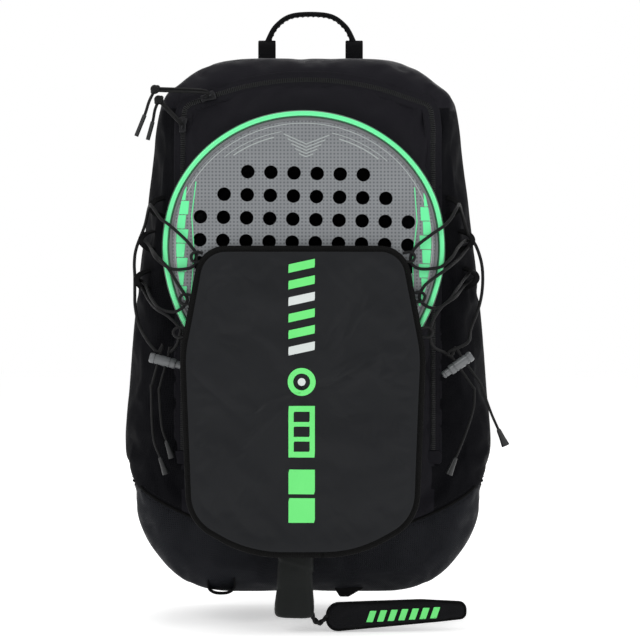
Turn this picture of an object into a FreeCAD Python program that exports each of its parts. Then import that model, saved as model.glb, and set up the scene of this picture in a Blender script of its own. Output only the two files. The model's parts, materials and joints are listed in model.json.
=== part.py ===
import FreeCAD, Part
import math
import os

os.makedirs("parts", exist_ok=True)

# Racket backpack with a racket laced into its front holder, in millimetres.
# +X is the wearer's right, which is the right seen from the front; -Y is the front, +Z is up.
# The origin is the middle of the flat base under the main compartment.
# Heights below are laid out from a datum BASE_Z under the base; save() lowers every piece by that much.

V = FreeCAD.Vector

# ---------------------------------------------------------------- driving sizes
BASE_Z = 8.0
BAG_TOP = 486.0
HIP_HALF = 164.0              # half width at the hips, before the corner is rounded
FRONT_Y = -72.0               # front face of the front panel
BACK_Y = 84.0                 # back face of the back panel
WALL = 4.0                    # padded cloth wall
FRONT_ROUND = 18.0            # rounding of the front edge of the shell
BACK_ROUND = 14.0
BACK_SEAM_Y = BACK_Y - 16.0   # seam between the gussets and the back panel

ZIP_X = 113.0                 # straight zip runs stand at +-ZIP_X
ZIP_LOW_Z = 130.0
ZIP_TOP_Z = 468.0             # crown of the zip over the top
ZIP_ARC_R = 263.0
ZIP_SHOULDER_Z = 434.0        # top of the straight zip runs
ZIP_WIDTH = 5.0
ZIP_THICK = 1.5

RACKET_BACK_Y = -88.0
RACKET_THICK = 38.0
RACKET_TILT = 1.5             # degrees, top leaning to +X
RACKET_CENTRE = (-3.3, 318.0)
HEAD_HALF = 124.5
HEAD_UP = 117.5
HEAD_DOWN = 137.0
RIM = 9.0
HANDLE_TOP = -190.0           # measured down from the head centre
BUTT_END = -330.0
BRIDGE = -118.0               # lower end of the hitting area, above the throat opening
GRIP_WIDE = 32.0
GRIP_DEEP = 30.0
FACE_SKIN = 1.5
EDGE_ROUND = 5.0
HOLE_D = 12.0
HOLE_PITCH = 20.3
HOLE_ROWS = (6, 8, 10, 10, 10, 8, 6)
HOLE_TOP_ROW = 62.0

FLAP_X = -4.0
FLAP_TOP_Z = 316.0
FLAP_LOW_Z = 43.0
FLAP_HALF = 108.0
FLAP_THICK = 4.0
FLAP_BULGE = 4.0
FLAP_EDGE_Y = -128.0          # back face of the flap at its side edges
BINDING = 7.5
GUSSET_TOP_Z = 196.0
GUSSET_THICK = 2.5
GRIP_GAP = (-36.0, 16.0)      # gap in the holder floor that the grip passes through

CORD_R = 1.5
TAIL_R = 1.3
STRAP_Y = 98.0                # back padding ends here and the shoulder straps begin
STRAP_THICK = 12.0

RACKET_MID_Y = RACKET_BACK_Y - RACKET_THICK / 2
RACKET_FRONT_Y = RACKET_BACK_Y - RACKET_THICK


# ---------------------------------------------------------------- small helpers
def point(x, z, y=0.0):
    return V(x, y, z)


def line(a, b):
    return Part.makeLine(point(*a), point(*b))


def arc(a, b, c):
    return Part.Arc(point(*a), point(*b), point(*c)).toShape()


def curve(points):
    """Smooth curve through plan points (x, z)."""
    spline = Part.BSplineCurve()
    spline.interpolate([point(*p) for p in points])
    return spline.toShape()


def rounded(corners):
    """Closed outline from corners (x, z, radius): straight lines joined by tangent arcs."""
    bends = []
    for i, (x, z, radius) in enumerate(corners):
        spot = point(x, z)
        back = (point(*corners[i - 1][:2]) - spot).normalize()
        ahead = (point(*corners[(i + 1) % len(corners)][:2]) - spot).normalize()
        half_angle = back.getAngle(ahead) / 2
        reach = radius / math.tan(half_angle)
        middle = (back + ahead).normalize() * (radius / math.sin(half_angle) - radius)
        bends.append((spot + back * reach, spot + middle, spot + ahead * reach))
    edges = []
    for i, bend in enumerate(bends):
        edges.append(Part.Arc(*bend).toShape())
        edges.append(Part.makeLine(bend[2], bends[(i + 1) % len(bends)][0]))
    return edges


def straight(points):
    """Closed outline of straight lines through plan points (x, z)."""
    return [line(a, b) for a, b in zip(points, points[1:] + points[:1])]


def closed(edges, inset=0.0):
    wire = Part.Wire(edges)
    if inset:
        wire = wire.makeOffset2D(-inset)
    return wire


def slab(edges, y_a, y_b, inset=0.0):
    """Front-view outline pushed through the depth from y_a to y_b."""
    face = Part.Face(closed(edges, inset))
    face.translate(V(0, y_a, 0))
    return face.extrude(V(0, y_b - y_a, 0))


def block(x_a, x_b, y_a, y_b, z_a, z_b):
    low = V(min(x_a, x_b), min(y_a, y_b), min(z_a, z_b))
    return Part.makeBox(abs(x_b - x_a), abs(y_b - y_a), abs(z_b - z_a), low)


def soft_block(x_a, x_b, y_a, y_b, z_a, z_b, radius):
    box = block(x_a, x_b, y_a, y_b, z_a, z_b)
    return box.makeFillet(radius, box.Edges)


def rod(a, b, radius):
    a, b = V(*a), V(*b)
    return Part.makeCylinder(radius, (b - a).Length, a, b - a)


def cord(points, radius):
    """Round cord through the points, with rounded bends and flat ends."""
    pieces = [rod(a, b, radius) for a, b in zip(points, points[1:])]
    pieces += [Part.makeSphere(radius, V(*p)) for p in points[1:-1]]
    return pieces[0].multiFuse(pieces[1:]) if len(pieces) > 1 else pieces[0]


def mirror_x(shape):
    return shape.mirror(V(0, 0, 0), V(1, 0, 0))


def turned(shape, centre, axis, degrees):
    copy = shape.copy()
    copy.rotate(V(*centre), V(*axis), degrees)
    return copy


def flat_edges(shape, y):
    """Edges that lie wholly in the plane at this depth."""

    def in_plane(box):
        return abs(box.YMin - y) < 0.01 and abs(box.YMax - y) < 0.01

    return [edge for edge in shape.Edges if in_plane(edge.BoundBox)]


def save(name, *shapes):
    solids = [s for shape in shapes for s in shape.Solids]
    shape = solids[0] if len(solids) == 1 else Part.makeCompound(solids)
    shape.translated(V(0, 0, -BASE_Z)).exportStep("parts/" + name + ".step")


# ---------------------------------------------------------------- bag shell
def bag_outline():
    """Flat base, swelling hips, sides that taper upwards and a rounded top."""
    side = [(110, BASE_Z, 62), (150, 58, 90), (HIP_HALF, 128, 110), (153, 262, 300), (131, 454, 24), (84, BAG_TOP, 70)]
    return rounded(side + [(-x, z, radius) for x, z, radius in reversed(side)])


def bag_solid(inset):
    body = slab(bag_outline(), FRONT_Y + inset, BACK_Y - inset, inset)
    body = body.makeFillet(FRONT_ROUND - inset, flat_edges(body, FRONT_Y + inset))
    return body.makeFillet(BACK_ROUND - inset, flat_edges(body, BACK_Y - inset))


def zip_path():
    """The zip's course: up the left side, over the crown and down the right side."""
    centre_z = ZIP_TOP_Z - ZIP_ARC_R
    end_x = 98.0
    end_z = centre_z + math.sqrt(ZIP_ARC_R ** 2 - end_x ** 2)
    crown = arc((-end_x, end_z), (0, ZIP_TOP_Z), (end_x, end_z))
    bend = (109.5, 444.0)
    left = arc((-ZIP_X, ZIP_SHOULDER_Z), (-bend[0], bend[1]), (-end_x, end_z))
    right = arc((end_x, end_z), bend, (ZIP_X, ZIP_SHOULDER_Z))
    return [
        line((-ZIP_X, 20), (-ZIP_X, ZIP_SHOULDER_Z)),
        left,
        crown,
        right,
        line((ZIP_X, ZIP_SHOULDER_Z), (ZIP_X, 20)),
        line((ZIP_X, 20), (-ZIP_X, 20)),
    ]


def boot_zone():
    """Everything below the arched top seam of the base boot."""
    wide = HIP_HALF + 10
    edges = [
        line((-wide, -10), (wide, -10)),
        line((wide, -10), (wide, 120)),
        arc((wide, 120), (0, 52), (-wide, 120)),
        line((-wide, 120), (-wide, -10)),
    ]
    return slab(edges, FRONT_Y - 10, BACK_Y + 10)


outer = bag_solid(0.0)
shell = outer.cut(bag_solid(WALL))
boot = boot_zone()
everywhere = BAG_TOP + 100
back_zone = block(-everywhere, everywhere, BACK_SEAM_Y, BACK_Y + 10, -10, everywhere)
front_zone = slab(zip_path(), FRONT_Y - 1, FRONT_Y + WALL + 0.5)
top_zone = block(-everywhere, everywhere, FRONT_Y - 10, BACK_SEAM_Y, ZIP_SHOULDER_Z + 8, everywhere)

base_boot = shell.common(boot).cut(back_zone)
back_panel = shell.common(back_zone)
above_boot = shell.cut(boot).cut(back_zone)
front_panel = above_boot.common(front_zone)
ring = above_boot.cut(front_zone)
top_gusset = ring.common(top_zone)
sides = ring.cut(top_zone)
right_half = block(0, everywhere, -200, 200, -10, everywhere)
side_gusset_right = sides.common(right_half)
side_gusset_left = sides.cut(right_half)

save("base_boot", base_boot)
save("back_panel", back_panel)
save("front_panel", front_panel)
save("top_gusset", top_gusset)
save("side_gusset_right", side_gusset_right)
save("side_gusset_left", side_gusset_left)

# zip coil lies on the front face along the whole opening
band = slab(zip_path(), FRONT_Y - ZIP_THICK, FRONT_Y, -ZIP_WIDTH / 2)
band = band.cut(slab(zip_path(), FRONT_Y - ZIP_THICK - 1, FRONT_Y + 1, ZIP_WIDTH / 2))
zip_coil = band.common(block(-200, 200, FRONT_Y - 5, FRONT_Y + 5, ZIP_LOW_Z, everywhere))
save("zip_coil", zip_coil)


# ---------------------------------------------------------------- inside the bag
def laptop_sleeve():
    """Open-topped padded pocket standing against the inside of the back panel."""
    pocket = block(-116, 116, 44, 72, 42, 300)
    hollow = block(-112, 112, 48, 69, 46, 310)
    return pocket.cut(hollow)


frame_sheet = soft_block(-115, 115, 73, 75, 40, 430, 0.9)
base_board = soft_block(-72, 72, -48, 40, BASE_Z + 5, BASE_Z + 8, 1.2)
save("laptop_sleeve", laptop_sleeve())
save("back_frame_sheet", frame_sheet)
save("base_board", base_board)

# ---------------------------------------------------------------- back padding and harness
back_pad_right = soft_block(10, 108, BACK_Y, STRAP_Y - 3, 175, 415, 4.5)
save("back_pads", back_pad_right, mirror_x(back_pad_right))
save("lumbar_pad", soft_block(-86, 86, BACK_Y, STRAP_Y - 2, 60, 165, 4.5))

ANCHOR_Z = 452.0
strap_anchor = soft_block(-82, 82, BACK_Y, STRAP_Y, ANCHOR_Z - 24, ANCHOR_Z + 10, 3.0)
save("strap_anchor", strap_anchor)


def strap_plan():
    """One shoulder strap seen from the front: it runs down from the anchor and bows outwards."""
    inner = [(16, 460), (30, 420), (40, 340), (44, 260), (56, 200)]
    outside = [(96, 196), (108, 270), (104, 350), (92, 425), (74, 460)]
    return [
        curve(inner),
        line(inner[-1], outside[0]),
        curve(outside),
        line(outside[-1], inner[0]),
    ]


strap = slab(strap_plan(), STRAP_Y, STRAP_Y + STRAP_THICK)
strap = strap.makeFillet(4.0, flat_edges(strap, STRAP_Y) + flat_edges(strap, STRAP_Y + STRAP_THICK))
save("shoulder_strap_right", strap)
save("shoulder_strap_left", mirror_x(strap))

# ladder lock: frame with a middle bar, hung from the strap's lower end
LOCK_X = 77.0
LOCK_Z = 180.0
LOCK_Y = STRAP_Y + 4.0
WEBBING = 25.0
WEB_THICK = 1.6


def ladder_lock():
    frame = soft_block(LOCK_X - 18, LOCK_X + 18, LOCK_Y - 1, LOCK_Y + 4, LOCK_Z - 14, LOCK_Z + 15, 1.5)
    for z in (LOCK_Z - 9, LOCK_Z + 2):
        frame = frame.cut(block(LOCK_X - 13.5, LOCK_X + 13.5, LOCK_Y - 5, LOCK_Y + 8, z, z + 7))
    return frame


def lower_webbing():
    """Flat webbing from just under the ladder lock, slanting down and in to the tab at the base corner."""
    top_z = LOCK_Z - 14.3
    top_y = LOCK_Y + 1.5
    low_y = BACK_Y + 1.6
    half = WEBBING / 2
    foot = V(124, 0, 62)
    along = foot - V(LOCK_X, 0, top_z)
    across = V(along.z, 0, -along.x).normalize() * half
    corners = [V(LOCK_X - half, 0, top_z), V(LOCK_X + half, 0, top_z), foot - across, foot + across]
    slope = (top_y - low_y) / (top_z - (foot + across).z)
    for corner in corners:
        corner.y = top_y - slope * (top_z - corner.z)
    face = Part.Face(Part.makePolygon(corners + corners[:1]))
    return face.extrude(V(0, WEB_THICK, 0))


def base_tab():
    tab = slab(straight([(98, 38), (118, 30), (138, 60), (112, 74)]), BACK_Y - 20, BACK_Y + 3)
    return tab.cut(outer).common(block(-200, 200, BACK_Y - 14, BACK_Y + 1.4, 0, 200))


save("ladder_locks", ladder_lock(), mirror_x(ladder_lock()))
save("strap_webbing", lower_webbing(), mirror_x(lower_webbing()))
save("base_tabs", base_tab(), mirror_x(base_tab()))

# sternum strap rides on two cord rails, one down each shoulder strap
RAIL_X = 72.0
RAIL_R = 2.0
RAIL_Y = STRAP_Y + STRAP_THICK + RAIL_R
STERNUM_Z = 335.0
CLIP_GAP = 0.2
WEB_Y = RAIL_Y + 3.4
rail = rod((RAIL_X, RAIL_Y, STERNUM_Z - 55), (RAIL_X, RAIL_Y, STERNUM_Z + 55), RAIL_R)
save("sternum_rails", rail, mirror_x(rail))


def sternum_block(x_a, x_b, y_a, y_b, half_high, radius=0.0):
    """Box centred on the sternum strap's height, with depths measured from the back of its webbing."""
    spans = (x_a, x_b, WEB_Y + y_a, WEB_Y + y_b, STERNUM_Z - half_high, STERNUM_Z + half_high)
    return soft_block(*spans, radius) if radius else block(*spans)


def sternum_clip():
    """Clip that grips one rail from behind and carries the webbing."""
    clip = sternum_block(RAIL_X - 8, RAIL_X + 8, -5.1, 0, 12, 1.0)
    tunnel = rod((RAIL_X, RAIL_Y, STERNUM_Z - 20), (RAIL_X, RAIL_Y, STERNUM_Z + 20), RAIL_R + CLIP_GAP)
    return clip.cut(tunnel)


BUCKLE_SPLIT = 4.0            # the socket and the plug meet at this x
SOCKET_END = -24.0
PLUG_END = 22.0
BUCKLE_DEPTH = (-3.2, 6.0)
BUCKLE_HALF = 14.0
PRONG = 2.6
PRONG_Y = WEB_THICK + 0.7     # the prongs pass in front of the webbing


def buckle_socket():
    body = sternum_block(SOCKET_END, BUCKLE_SPLIT, *BUCKLE_DEPTH, BUCKLE_HALF, 2.2)
    pocket = sternum_block(SOCKET_END + 6, BUCKLE_SPLIT + 5, -0.8, PRONG_Y + PRONG + 0.5, 11)
    slot = sternum_block(SOCKET_END - 5, SOCKET_END + 4, -0.3, WEB_THICK + 0.3, 10.4)
    return body.cut(pocket).cut(slot)


def buckle_plug():
    """Plug with three prongs; the webbing passes right through it, so it can be drawn off to the right."""
    head = sternum_block(BUCKLE_SPLIT + 0.4, PLUG_END, *BUCKLE_DEPTH, BUCKLE_HALF, 2.2)
    bar = sternum_block(SOCKET_END + 9, BUCKLE_SPLIT + 3, PRONG_Y, PRONG_Y + PRONG, PRONG / 2)
    prongs = [bar.translated(V(0, 0, z)) for z in (-8, 0, 8)]
    slot = sternum_block(BUCKLE_SPLIT - 1, PLUG_END + 5, -0.5, WEB_THICK + 0.5, 10.6)
    return head.multiFuse(prongs).cut(slot)


save("sternum_clips", sternum_clip(), mirror_x(sternum_clip()))
save("sternum_webbing_left", sternum_block(-RAIL_X - 8, SOCKET_END + 3.5, 0, WEB_THICK, 10))
save("sternum_webbing_right", sternum_block(BUCKLE_SPLIT + 6, RAIL_X + 8, 0, WEB_THICK, 10))
save("sternum_buckle_socket", buckle_socket())
save("sternum_buckle_plug", buckle_plug())

# ---------------------------------------------------------------- carry handle and hang loop
HANDLE_Y = 30.0
HANDLE_Z = 511.5
HANDLE_MID = 2.0
HANDLE_SPAN = 41.5
HANDLE_RISE = 28.0
HANDLE_R = 3.5


def carry_handle():
    foot_l = V(HANDLE_MID - HANDLE_SPAN, HANDLE_Y, HANDLE_Z)
    foot_r = V(HANDLE_MID + HANDLE_SPAN, HANDLE_Y, HANDLE_Z)
    crown = V(HANDLE_MID, HANDLE_Y, HANDLE_Z + HANDLE_RISE - 2)
    knee = V(9, 0, 16)
    flat = V(18, 0, 0)
    far_knee = V(-knee.x, 0, knee.z)
    path = Part.BSplineCurve()
    path.interpolate([foot_l, foot_l + knee, crown - flat, crown + flat, foot_r + far_knee, foot_r])
    start = Part.Wire(Part.makeCircle(HANDLE_R, foot_l, path.tangent(path.FirstParameter)[0]))
    tube = Part.Wire(path.toShape()).makePipeShell([start], True, True)
    return tube.multiFuse([Part.makeSphere(HANDLE_R, foot_l), Part.makeSphere(HANDLE_R, foot_r)])


def handle_anchor(x):
    tab = block(x - 8.5, x + 8.5, HANDLE_Y - 1.2, HANDLE_Y + 1.2, BAG_TOP - 8, HANDLE_Z - HANDLE_R - 0.3)
    return tab.cut(outer)


save("carry_handle", carry_handle())
save("handle_anchors", handle_anchor(HANDLE_MID - HANDLE_SPAN), handle_anchor(HANDLE_MID + HANDLE_SPAN))

# ---------------------------------------------------------------- small webbing parts under the base
def loop_outline(half, sag):
    """Straight sides that go up into the shell, joined below by a shallow arc."""
    mid_x = -78.5
    top_z, bend_z = BASE_Z + 10, BASE_Z - 1
    left, right = mid_x - half, mid_x + half
    return [
        line((left, top_z), (left, bend_z)),
        arc((left, bend_z), (mid_x, bend_z - sag), (right, bend_z)),
        line((right, bend_z), (right, top_z)),
        line((right, top_z), (left, top_z)),
    ]


def bottom_loop():
    """Flat loop of webbing sewn into the boot seam at the lower left."""
    outside = slab(loop_outline(12.5, 5), -68, -56)
    inside = slab(loop_outline(9.5, 3), -69, -55)
    return outside.cut(inside).cut(outer)


def bottom_tab():
    return slab(straight([(22, 10), (56, 10), (37, -1), (29, -1)]), -58, -55.5).cut(outer)


save("bottom_loop", bottom_loop())
save("bottom_tab", bottom_tab())


# ---------------------------------------------------------------- racket holder
def flap_outline():
    """Flat top, sides that flare to the hips, tight lower corners and a nearly flat foot."""
    half = [(48, FLAP_LOW_Z, 110), (102, 74, 42), (FLAP_HALF, 222, 110), (90, FLAP_TOP_Z, 27)]
    right = [(FLAP_X + x, z, radius) for x, z, radius in half]
    left = [(FLAP_X - x, z, radius) for x, z, radius in reversed(half)]
    return rounded(right + left)


def bulged_sheet(extra):
    """Upright curved sheet that bows forwards by FLAP_BULGE over the flap's width."""
    radius = (FLAP_HALF ** 2 + FLAP_BULGE ** 2) / (2 * FLAP_BULGE)
    axis_y = FLAP_EDGE_Y - FLAP_BULGE + radius
    base = V(FLAP_X, axis_y, 0)
    out = Part.makeCylinder(radius + FLAP_THICK + extra, BAG_TOP, base)
    return out.cut(Part.makeCylinder(radius - extra, BAG_TOP, base))


flap_depth = (FLAP_EDGE_Y - 30, FLAP_EDGE_Y + 5)
flap_prism = slab(flap_outline(), *flap_depth)
flap_core = slab(flap_outline(), *flap_depth, BINDING)
save("holder_flap", bulged_sheet(0.0).common(flap_core))
save("holder_flap_binding", bulged_sheet(1.0).common(flap_prism.cut(flap_core)))

holder_band = slab(flap_outline(), FLAP_EDGE_Y + 3, FRONT_Y, 8.0)
holder_band = holder_band.cut(slab(flap_outline(), FLAP_EDGE_Y, FRONT_Y + 1, 8.0 + GUSSET_THICK))
holder_band = holder_band.common(block(-200, 200, -200, 0, 0, GUSSET_TOP_Z))
holder_band = holder_band.cut(block(GRIP_GAP[0], GRIP_GAP[1], -200, 0, 0, 150)).cut(outer)
gusset_right = holder_band.common(right_half)
save("holder_gusset_right", gusset_right)
save("holder_gusset_left", holder_band.cut(right_half))

# ---------------------------------------------------------------- lacing
RING_R = 4.2
RING_WIRE = 1.1
LOOP_Y = RACKET_FRONT_Y - RING_R - RING_WIRE - 0.3    # the rings just clear the racket's front
SIDE_RING_R = 6.0
SIDE_RING_WIRE = 1.3
SIDE_LOOP_Y = FRONT_Y + 2.0
FLAP_LOOPS = {-1: ((-97.5, 306), (-107.5, 269), (-113, 240)), 1: ((89.5, 306), (98.5, 271), (105, 240))}
SIDE_LOOPS = {-1: ((-140, 353), (-149, 323), (-153, 287)), 1: ((135, 353), (147, 323), (151, 289))}
CORNER_X = {-1: -133.0, 1: 127.5}       # the strands turn here, just outside the racket
CORNER_Y = RACKET_FRONT_Y - 3.0


def flap_ring(x, z):
    ring = Part.makeTorus(RING_R, RING_WIRE, V(x, LOOP_Y, z))
    return ring.cut(flap_prism)


def side_ring(x, z):
    return Part.makeTorus(SIDE_RING_R, SIDE_RING_WIRE, V(x, SIDE_LOOP_Y, z)).cut(outer)


save("flap_loops", *[flap_ring(x, z) for side in (-1, 1) for x, z in FLAP_LOOPS[side]])
save("side_loops", *[side_ring(x, z) for side in (-1, 1) for x, z in SIDE_LOOPS[side]])

# cord locks: centre (x, z), barrel direction in degrees, which end the button is on
LOCK_DEPTH_Y = -108.0
LOCK_CENTRE = {-1: (-128.5, 215.0), 1: (136.0, 213.0)}
LOCK_TILT = {-1: -15.0, 1: 35.0}
BUTTON_END = {-1: 1, 1: -1}
TAIL_ENDS = {-1: ((-125, 143), (-131, 128)), 1: ((170, 153), (131, 128))}
BARREL_LONG = 24.0
BARREL_R = 4.6
BUTTON_R = 3.4
BUTTON_LONG = 8.0
BUTTON_TRAVEL = 4.0
TAIL_GAP = 3.6                # the two cords stand this far apart, each side of the barrel's middle
LOCK_TRAVEL = 20.0
TAIL_ABOVE = 12.0             # the tails join the lacing this far above the barrel's middle
BELL_LONG = 15.0


def lock_frame(side):
    """Centre, barrel direction towards the button, and the way the cord tails leave."""
    x, z = LOCK_CENTRE[side]
    tilt = math.radians(LOCK_TILT[side])
    barrel = V(math.cos(tilt), 0, math.sin(tilt)) * BUTTON_END[side]
    down = V(math.sin(tilt), 0, -math.cos(tilt))
    if down.z > 0:
        down = down * -1
    return V(x, LOCK_DEPTH_Y, z), barrel, down


def tail_course(side, which):
    """Points of one cord from just above the lock, through it, and down to its bell end."""
    centre, barrel, down = lock_frame(side)
    sign = 1 if which == 0 else -1
    off = barrel * (TAIL_GAP * sign * BUTTON_END[side] * -side)
    top = centre + off - down * TAIL_ABOVE
    low = centre + off + down * (LOCK_TRAVEL + 7.0)
    x, z = TAIL_ENDS[side][which]
    end = V(x, LOCK_DEPTH_Y + 4 + 3 * sign, z)
    middle = (low + end) * 0.5 + V(side * 2.0, 0, 0)
    return [tuple(p) for p in (top, low, middle, end)]


def cord_lock(side):
    centre, barrel, down = lock_frame(side)
    body = Part.makeCylinder(BARREL_R, BARREL_LONG, centre - barrel * (BARREL_LONG / 2), barrel)
    for which in (0, 1):
        course = tail_course(side, which)
        body = body.cut(rod(course[0], course[1], TAIL_R + 0.3))
    floor = centre + barrel * (BARREL_LONG / 2 - BUTTON_TRAVEL - 0.8)
    return body.cut(Part.makeCylinder(BUTTON_R + 0.15, BUTTON_LONG + 1, floor, barrel))


def lock_button(side):
    centre, barrel, down = lock_frame(side)
    start = centre + barrel * (BARREL_LONG / 2 - 0.3)
    return Part.makeCylinder(BUTTON_R, BUTTON_LONG, start, barrel)


def bell_end(side, which):
    course = tail_course(side, which)
    before, end = V(*course[-2]), V(*course[-1])
    direction = (end - before).normalize()
    return Part.makeCone(2.2, 3.6, BELL_LONG, end, direction)


for side, name in ((-1, "left"), (1, "right")):
    save("cord_lock_" + name, cord_lock(side))
    save("cord_lock_button_" + name, lock_button(side))
    save("cord_tails_" + name, *[cord(tail_course(side, which), TAIL_R) for which in (0, 1)])
    save("bell_ends_" + name, *[bell_end(side, which) for which in (0, 1)])


def through_ring(x, y, z, reach, upwards):
    """Straight run of cord along the ring's hole, given as its two ends in the order it is threaded."""
    ends = [(x, y, z - reach), (x, y, z + reach)]
    return ends if upwards else ends[::-1]


def lacing(side):
    """Elastic cord from the lock, zigzag between the flap rings and side rings, and back to the lock."""

    def corner(a, b):
        share = abs(CORNER_X[side] - a[0]) / abs(b[0] - a[0])
        return (CORNER_X[side], CORNER_Y, a[2] + share * (b[2] - a[2]))

    _, _, down = lock_frame(side)
    first, last = (V(*tail_course(side, which)[0]) for which in (0, 1))
    points = [tuple(first), tuple(first - down * 4)]
    rings = list(zip(FLAP_LOOPS[side], SIDE_LOOPS[side]))[::-1]
    for number, ((flap_x, flap_z), (side_x, side_z)) in enumerate(rings):
        lowest, highest = number == 0, number == len(rings) - 1
        if not lowest:
            points.append(corner(points[-1], (flap_x, LOOP_Y, flap_z + 4)))
        points += through_ring(flap_x, LOOP_Y, flap_z, 4, lowest)
        if not lowest:
            points.append((flap_x + side * 9, LOOP_Y, flap_z - 4))
        entry = through_ring(side_x + side * 2.5, SIDE_LOOP_Y - 1.5, side_z, 5, not highest)
        points.append(corner(points[-1], entry[0]))
        points += entry
    outer_run = [(150, -88, 330), (158, -92, 303), (157, -94, 262)]
    points += [(side * x, y, z) for x, y, z in outer_run]
    points += [tuple(last - down * 4), tuple(last)]
    return cord(points, CORD_R)


save("lacing_cord_left", lacing(-1))
save("lacing_cord_right", lacing(1))

# ---------------------------------------------------------------- zip sliders and pulls
SLIDER_LONG = 14.0
SLIDER_WIDE = 9.0
SLIDER_THICK = 2.5
SLIDER_BACK_Y = FRONT_Y - ZIP_THICK - 0.1
BRIDGE_R = 2.0
BRIDGE_WIRE = 0.7
BRIDGE_Y = SLIDER_BACK_Y - SLIDER_THICK - 0.5
TOP_SLIDER_ANGLE = -20.0      # degrees from straight up, round the crown's centre
CROWN_CENTRE_Z = ZIP_TOP_Z - ZIP_ARC_R
LEFT_SLIDER = (-ZIP_X, ZIP_SHOULDER_Z - 7)
TOP_SLIDER = (
    ZIP_ARC_R * math.sin(math.radians(TOP_SLIDER_ANGLE)),
    CROWN_CENTRE_Z + ZIP_ARC_R * math.cos(math.radians(TOP_SLIDER_ANGLE)),
)
PULL_R = 1.2
PULL_Y = BRIDGE_Y - BRIDGE_R - BRIDGE_WIRE - PULL_R - 0.2
TOP_PULL_Y = PULL_Y - 4.2     # the two pulls hang one in front of the other


def zip_slider(x, z):
    """Upright slider body over the coil, with a small bridge that the pull cord loops through."""
    wide, tall = SLIDER_WIDE / 2, SLIDER_LONG / 2
    y_front = SLIDER_BACK_Y - SLIDER_THICK
    body = soft_block(x - wide, x + wide, y_front, SLIDER_BACK_Y, z - tall, z + tall, 0.9)
    return body.fuse(Part.makeTorus(BRIDGE_R, BRIDGE_WIRE, V(x, BRIDGE_Y, z), V(1, 0, 0)))


def top_slider():
    """The same slider laid along the crown of the zip and swung round to its place."""
    lying = turned(zip_slider(0, ZIP_TOP_Z), (0, 0, ZIP_TOP_Z), (0, 1, 0), 90)
    return turned(lying, (0, 0, CROWN_CENTRE_Z), (0, 1, 0), TOP_SLIDER_ANGLE)


def pull(spot, depth_y, knot, tail):
    """Cord pull: from the slider's bridge out to a knot, then down to a thicker bound end."""
    bound = (tail[0] + 2, depth_y, tail[1] + 12)
    course = [(spot[0], depth_y, spot[1]), (knot[0], depth_y, knot[1]), bound]
    if depth_y < PULL_Y:
        course.insert(0, (spot[0], PULL_Y, spot[1]))
    knot_ball = Part.makeSphere(2.0, V(knot[0], depth_y, knot[1]))
    end = rod(bound, (tail[0], depth_y, tail[1]), 1.9)
    return cord(course, PULL_R).multiFuse([knot_ball, end])


save("zip_slider_left", zip_slider(*LEFT_SLIDER))
save("zip_slider_top", top_slider())
save("zip_pull_left", pull(LEFT_SLIDER, PULL_Y, (-134, 449), (-144, 413)))
save("zip_pull_top", pull(TOP_SLIDER, TOP_PULL_Y, (-137, 458), (-154, 416)))


# ---------------------------------------------------------------- racket
def place_racket(shape):
    """From the racket's own frame, with the head centre as origin, to the holder."""
    placed = turned(shape, (0, 0, 0), (0, 1, 0), RACKET_TILT)
    placed.translate(V(RACKET_CENTRE[0], 0, RACKET_CENTRE[1]))
    return placed


def ellipse_point(degrees, inset=0.0):
    """Point on the head's edge: a flatter half ellipse above, a longer one below."""
    t = math.radians(degrees)
    height = HEAD_UP if math.sin(t) >= 0 else HEAD_DOWN
    return ((HEAD_HALF - inset) * math.cos(t), (height - inset) * math.sin(t))


def head_oval(inset):
    spline = Part.BSplineCurve()
    spline.interpolate([point(*ellipse_point(a, inset)) for a in range(0, 360, 20)], PeriodicFlag=True)
    return [spline.toShape()]


def racket_outline():
    """Head and throat in one smooth run, closed across the top of the handle."""
    neck = GRIP_WIDE / 2 - 1
    right = [(neck, HANDLE_TOP), (neck + 4, HANDLE_TOP + 28)]
    right += [ellipse_point(a) for a in (-54, -36, -18, 0, 22.5, 45, 67.5)]
    over = right + [(0, HEAD_UP)] + [(-x, z) for x, z in reversed(right)]
    return [curve(over), line((-neck, HANDLE_TOP), (neck, HANDLE_TOP))]


def throat_outline():
    """Triangular opening between the bridge and the handle, point down."""
    return rounded([(-25, -134, 7), (25, -134, 7), (0, -177, 4)])


def holes(y_a, y_b):
    drills = []
    for row, count in enumerate(HOLE_ROWS):
        z = HOLE_TOP_ROW - HOLE_PITCH * row
        for i in range(count):
            x = (i - (count - 1) / 2) * HOLE_PITCH
            drills.append(rod((x, y_a, z), (x, y_b, z), HOLE_D / 2))
    return Part.makeCompound(drills)


def face_zone(y_a, y_b):
    """Hitting area inside the rim, closed by the bridge above the throat."""
    area = slab(head_oval(RIM), y_a, y_b)
    return area.common(block(-200, 200, y_a, y_b, BRIDGE, 200))


def racket_frame():
    body = slab(racket_outline(), RACKET_FRONT_Y, RACKET_BACK_Y)
    edges = flat_edges(body, RACKET_FRONT_Y) + flat_edges(body, RACKET_BACK_Y)
    body = body.makeFillet(EDGE_ROUND, [e for e in edges if e.Length > HEAD_HALF])
    body = body.cut(face_zone(RACKET_FRONT_Y - 1, RACKET_BACK_Y + 1))
    return body.cut(slab(throat_outline(), RACKET_FRONT_Y - 1, RACKET_BACK_Y + 1))


def sandwich(y_a, y_b):
    return face_zone(y_a, y_b).cut(holes(y_a - 1, y_b + 1))


INSET_FACE = 0.6              # the faces sit just below the rim's front and back
front_skin_y = RACKET_FRONT_Y + INSET_FACE
back_skin_y = RACKET_BACK_Y - INSET_FACE


def handle_box(half_x, half_y, z_a, z_b, radius):
    box = block(-half_x, half_x, RACKET_MID_Y - half_y, RACKET_MID_Y + half_y, z_a, z_b)
    upright = [e for e in box.Edges if e.BoundBox.ZLength > 1]
    return box.makeFillet(radius, upright)


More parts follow.
